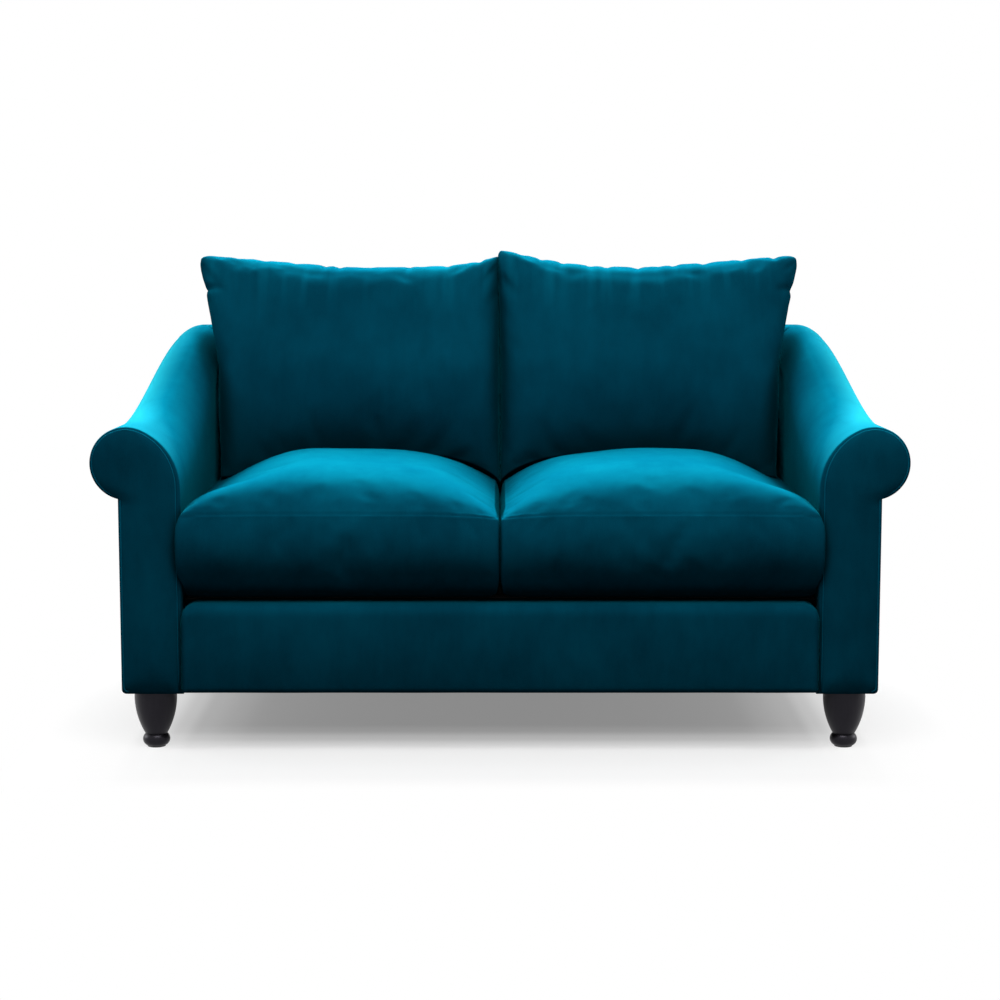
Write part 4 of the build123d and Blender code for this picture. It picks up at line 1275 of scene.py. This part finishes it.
def mixed(tree, factor, first, second):
    """Mix of two shaders, where factor 1 gives the second."""
    node = tree.nodes.new("ShaderNodeMixShader")
    for output, socket in zip((factor, first, second), node.inputs):
        tree.links.new(output, socket)
    return node.outputs["Shader"]


WORLD_TINT = (0.95, 0.98, 1.0, 1.0)
WORLD_STRENGTH = 0.06


def make_world():
    """White to look at, with only a faint light of its own."""
    world = bpy.data.worlds.new("studio")
    scene.world = world
    world.use_nodes = True
    tree = world.node_tree
    light = tree.nodes["Background"]
    light.inputs["Color"].default_value = WORLD_TINT
    light.inputs["Strength"].default_value = WORLD_STRENGTH
    white = tree.nodes.new("ShaderNodeBackground")
    white.inputs["Color"].default_value = (1.0, 1.0, 1.0, 1.0)
    shown = mixed(tree, light_path_sum(tree), light.outputs["Background"], white.outputs["Background"])
    tree.links.new(shown, tree.nodes["World Output"].inputs["Surface"])


# How shaded the floor is, by distance in metres from the middle, across and along the sofa: a painted
# contact shade, where the floor's glow is turned down and the real shadow shows
SHADE_ACROSS = (
    (0.5, 1.0), (0.555, 0.96), (0.616, 0.89), (0.653, 0.73),
    (0.7, 0.5), (0.75, 0.27), (0.88, 0.24), (0.95, 0.0),
)
SHADE_ALONG = (
    (0.2, 1.0), (0.252, 0.95), (0.324, 0.76), (0.385, 0.54),
    (0.52, 0.6), (0.63, 0.5), (0.75, 0.0),
)
FLOOR_SIZE = 14.0
FLOOR_GREY = (0.82, 0.82, 0.82, 1.0)
FLOOR_DARKEST = 0.75
FLOOR_BOUNCE = 0.12


def floor_shade(s):
    """Contact shade under the sofa, painted from the floor's own coordinates over the real shadow: 1 in the
    middle, 0 in the open.
    """
    place = s.split(s.coord)
    levels = []
    for axis, stops in zip("XY", (SHADE_ACROSS, SHADE_ALONG)):
        fall = s.node("ValToRGB", Fac=s.math("ABSOLUTE", place[axis]))
        ramp = fall.color_ramp
        ramp.interpolation = "EASE"
        for i, (spot, level) in enumerate(stops):
            stop = ramp.elements[i] if i < 2 else ramp.elements.new(spot)
            stop.position = spot
            stop.color = (level, level, level, 1.0)
        levels.append(fall.outputs["Color"])
    return s.times(*levels)


def make_floor():
    """White floor with a contact shade, partly painted and partly the real shadow, which throws little
    light back on the sofa.
    """
    s = Shader("floor_white")
    s.set(Base_Color=FLOOR_GREY, Roughness=0.9, Specular_IOR_Level=0.1)
    # Painted contact shade: less glow under the sofa, so the real shadow shows there
    fade = s.spread(floor_shade(s), 0.0, 1.0, 1.0, 1.0 - FLOOR_DARKEST)
    seen = mixed(s.tree, fade, s.bsdf.outputs["BSDF"], s.node("Emission").outputs["Emission"])
    dull = s.node("BsdfDiffuse", Color=(FLOOR_BOUNCE, FLOOR_BOUNCE, FLOOR_BOUNCE, 1.0))
    shown = mixed(s.tree, light_path_sum(s.tree), dull.outputs["BSDF"], seen)
    s.tree.links.new(shown, s.tree.nodes["Material Output"].inputs["Surface"])
    size = FLOOR_SIZE
    mesh = bpy.data.meshes.new("floor")
    corners = [(-size, -size, 0), (size, -size, 0), (size, size, 0), (-size, size, 0)]
    mesh.from_pydata(corners, [], [(0, 1, 2, 3)])
    mesh.materials.append(s.material)
    floor = bpy.data.objects.new("floor", mesh)
    scene.collection.objects.link(floor)


def lamp(name, place, target, size, power):
    """Rectangular light aimed at a target."""
    data = bpy.data.lights.new(name, "AREA")
    data.shape = "RECTANGLE"
    data.size, data.size_y = size
    data.energy = power
    obj = bpy.data.objects.new(name, data)
    obj.location = place
    aim = Vector(target) - Vector(place)
    obj.rotation_euler = aim.to_track_quat("-Z", "Y").to_euler()
    scene.collection.objects.link(obj)


def make_lights():
    lamp("back_key", (0.0, 2.9, 3.9), (0.0, 0.0, 0.5), (2.4, 1.6), 270.0)
    lamp("front_fill", (0.0, -2.1, 4.45), (0.0, 0.0, 0.5), (3.0, 1.6), 172.0)
    lamp("overhead", (0.0, -0.6, 4.6), (0.0, -0.3, 0.4), (2.0, 1.6), 42.0)
    for side in (-1, 1):
        lamp(f"side_fill_{side}", (4.6 * side, 0.9, 1.7), (0.0, 0.2, 0.4), (2.4, 1.8), 70.0)


make_camera()
make_arms()
make_frame_cloth()
make_seat_cushions()
make_back_cushions()
dress_nodes()
make_world()
make_floor()
make_lights()
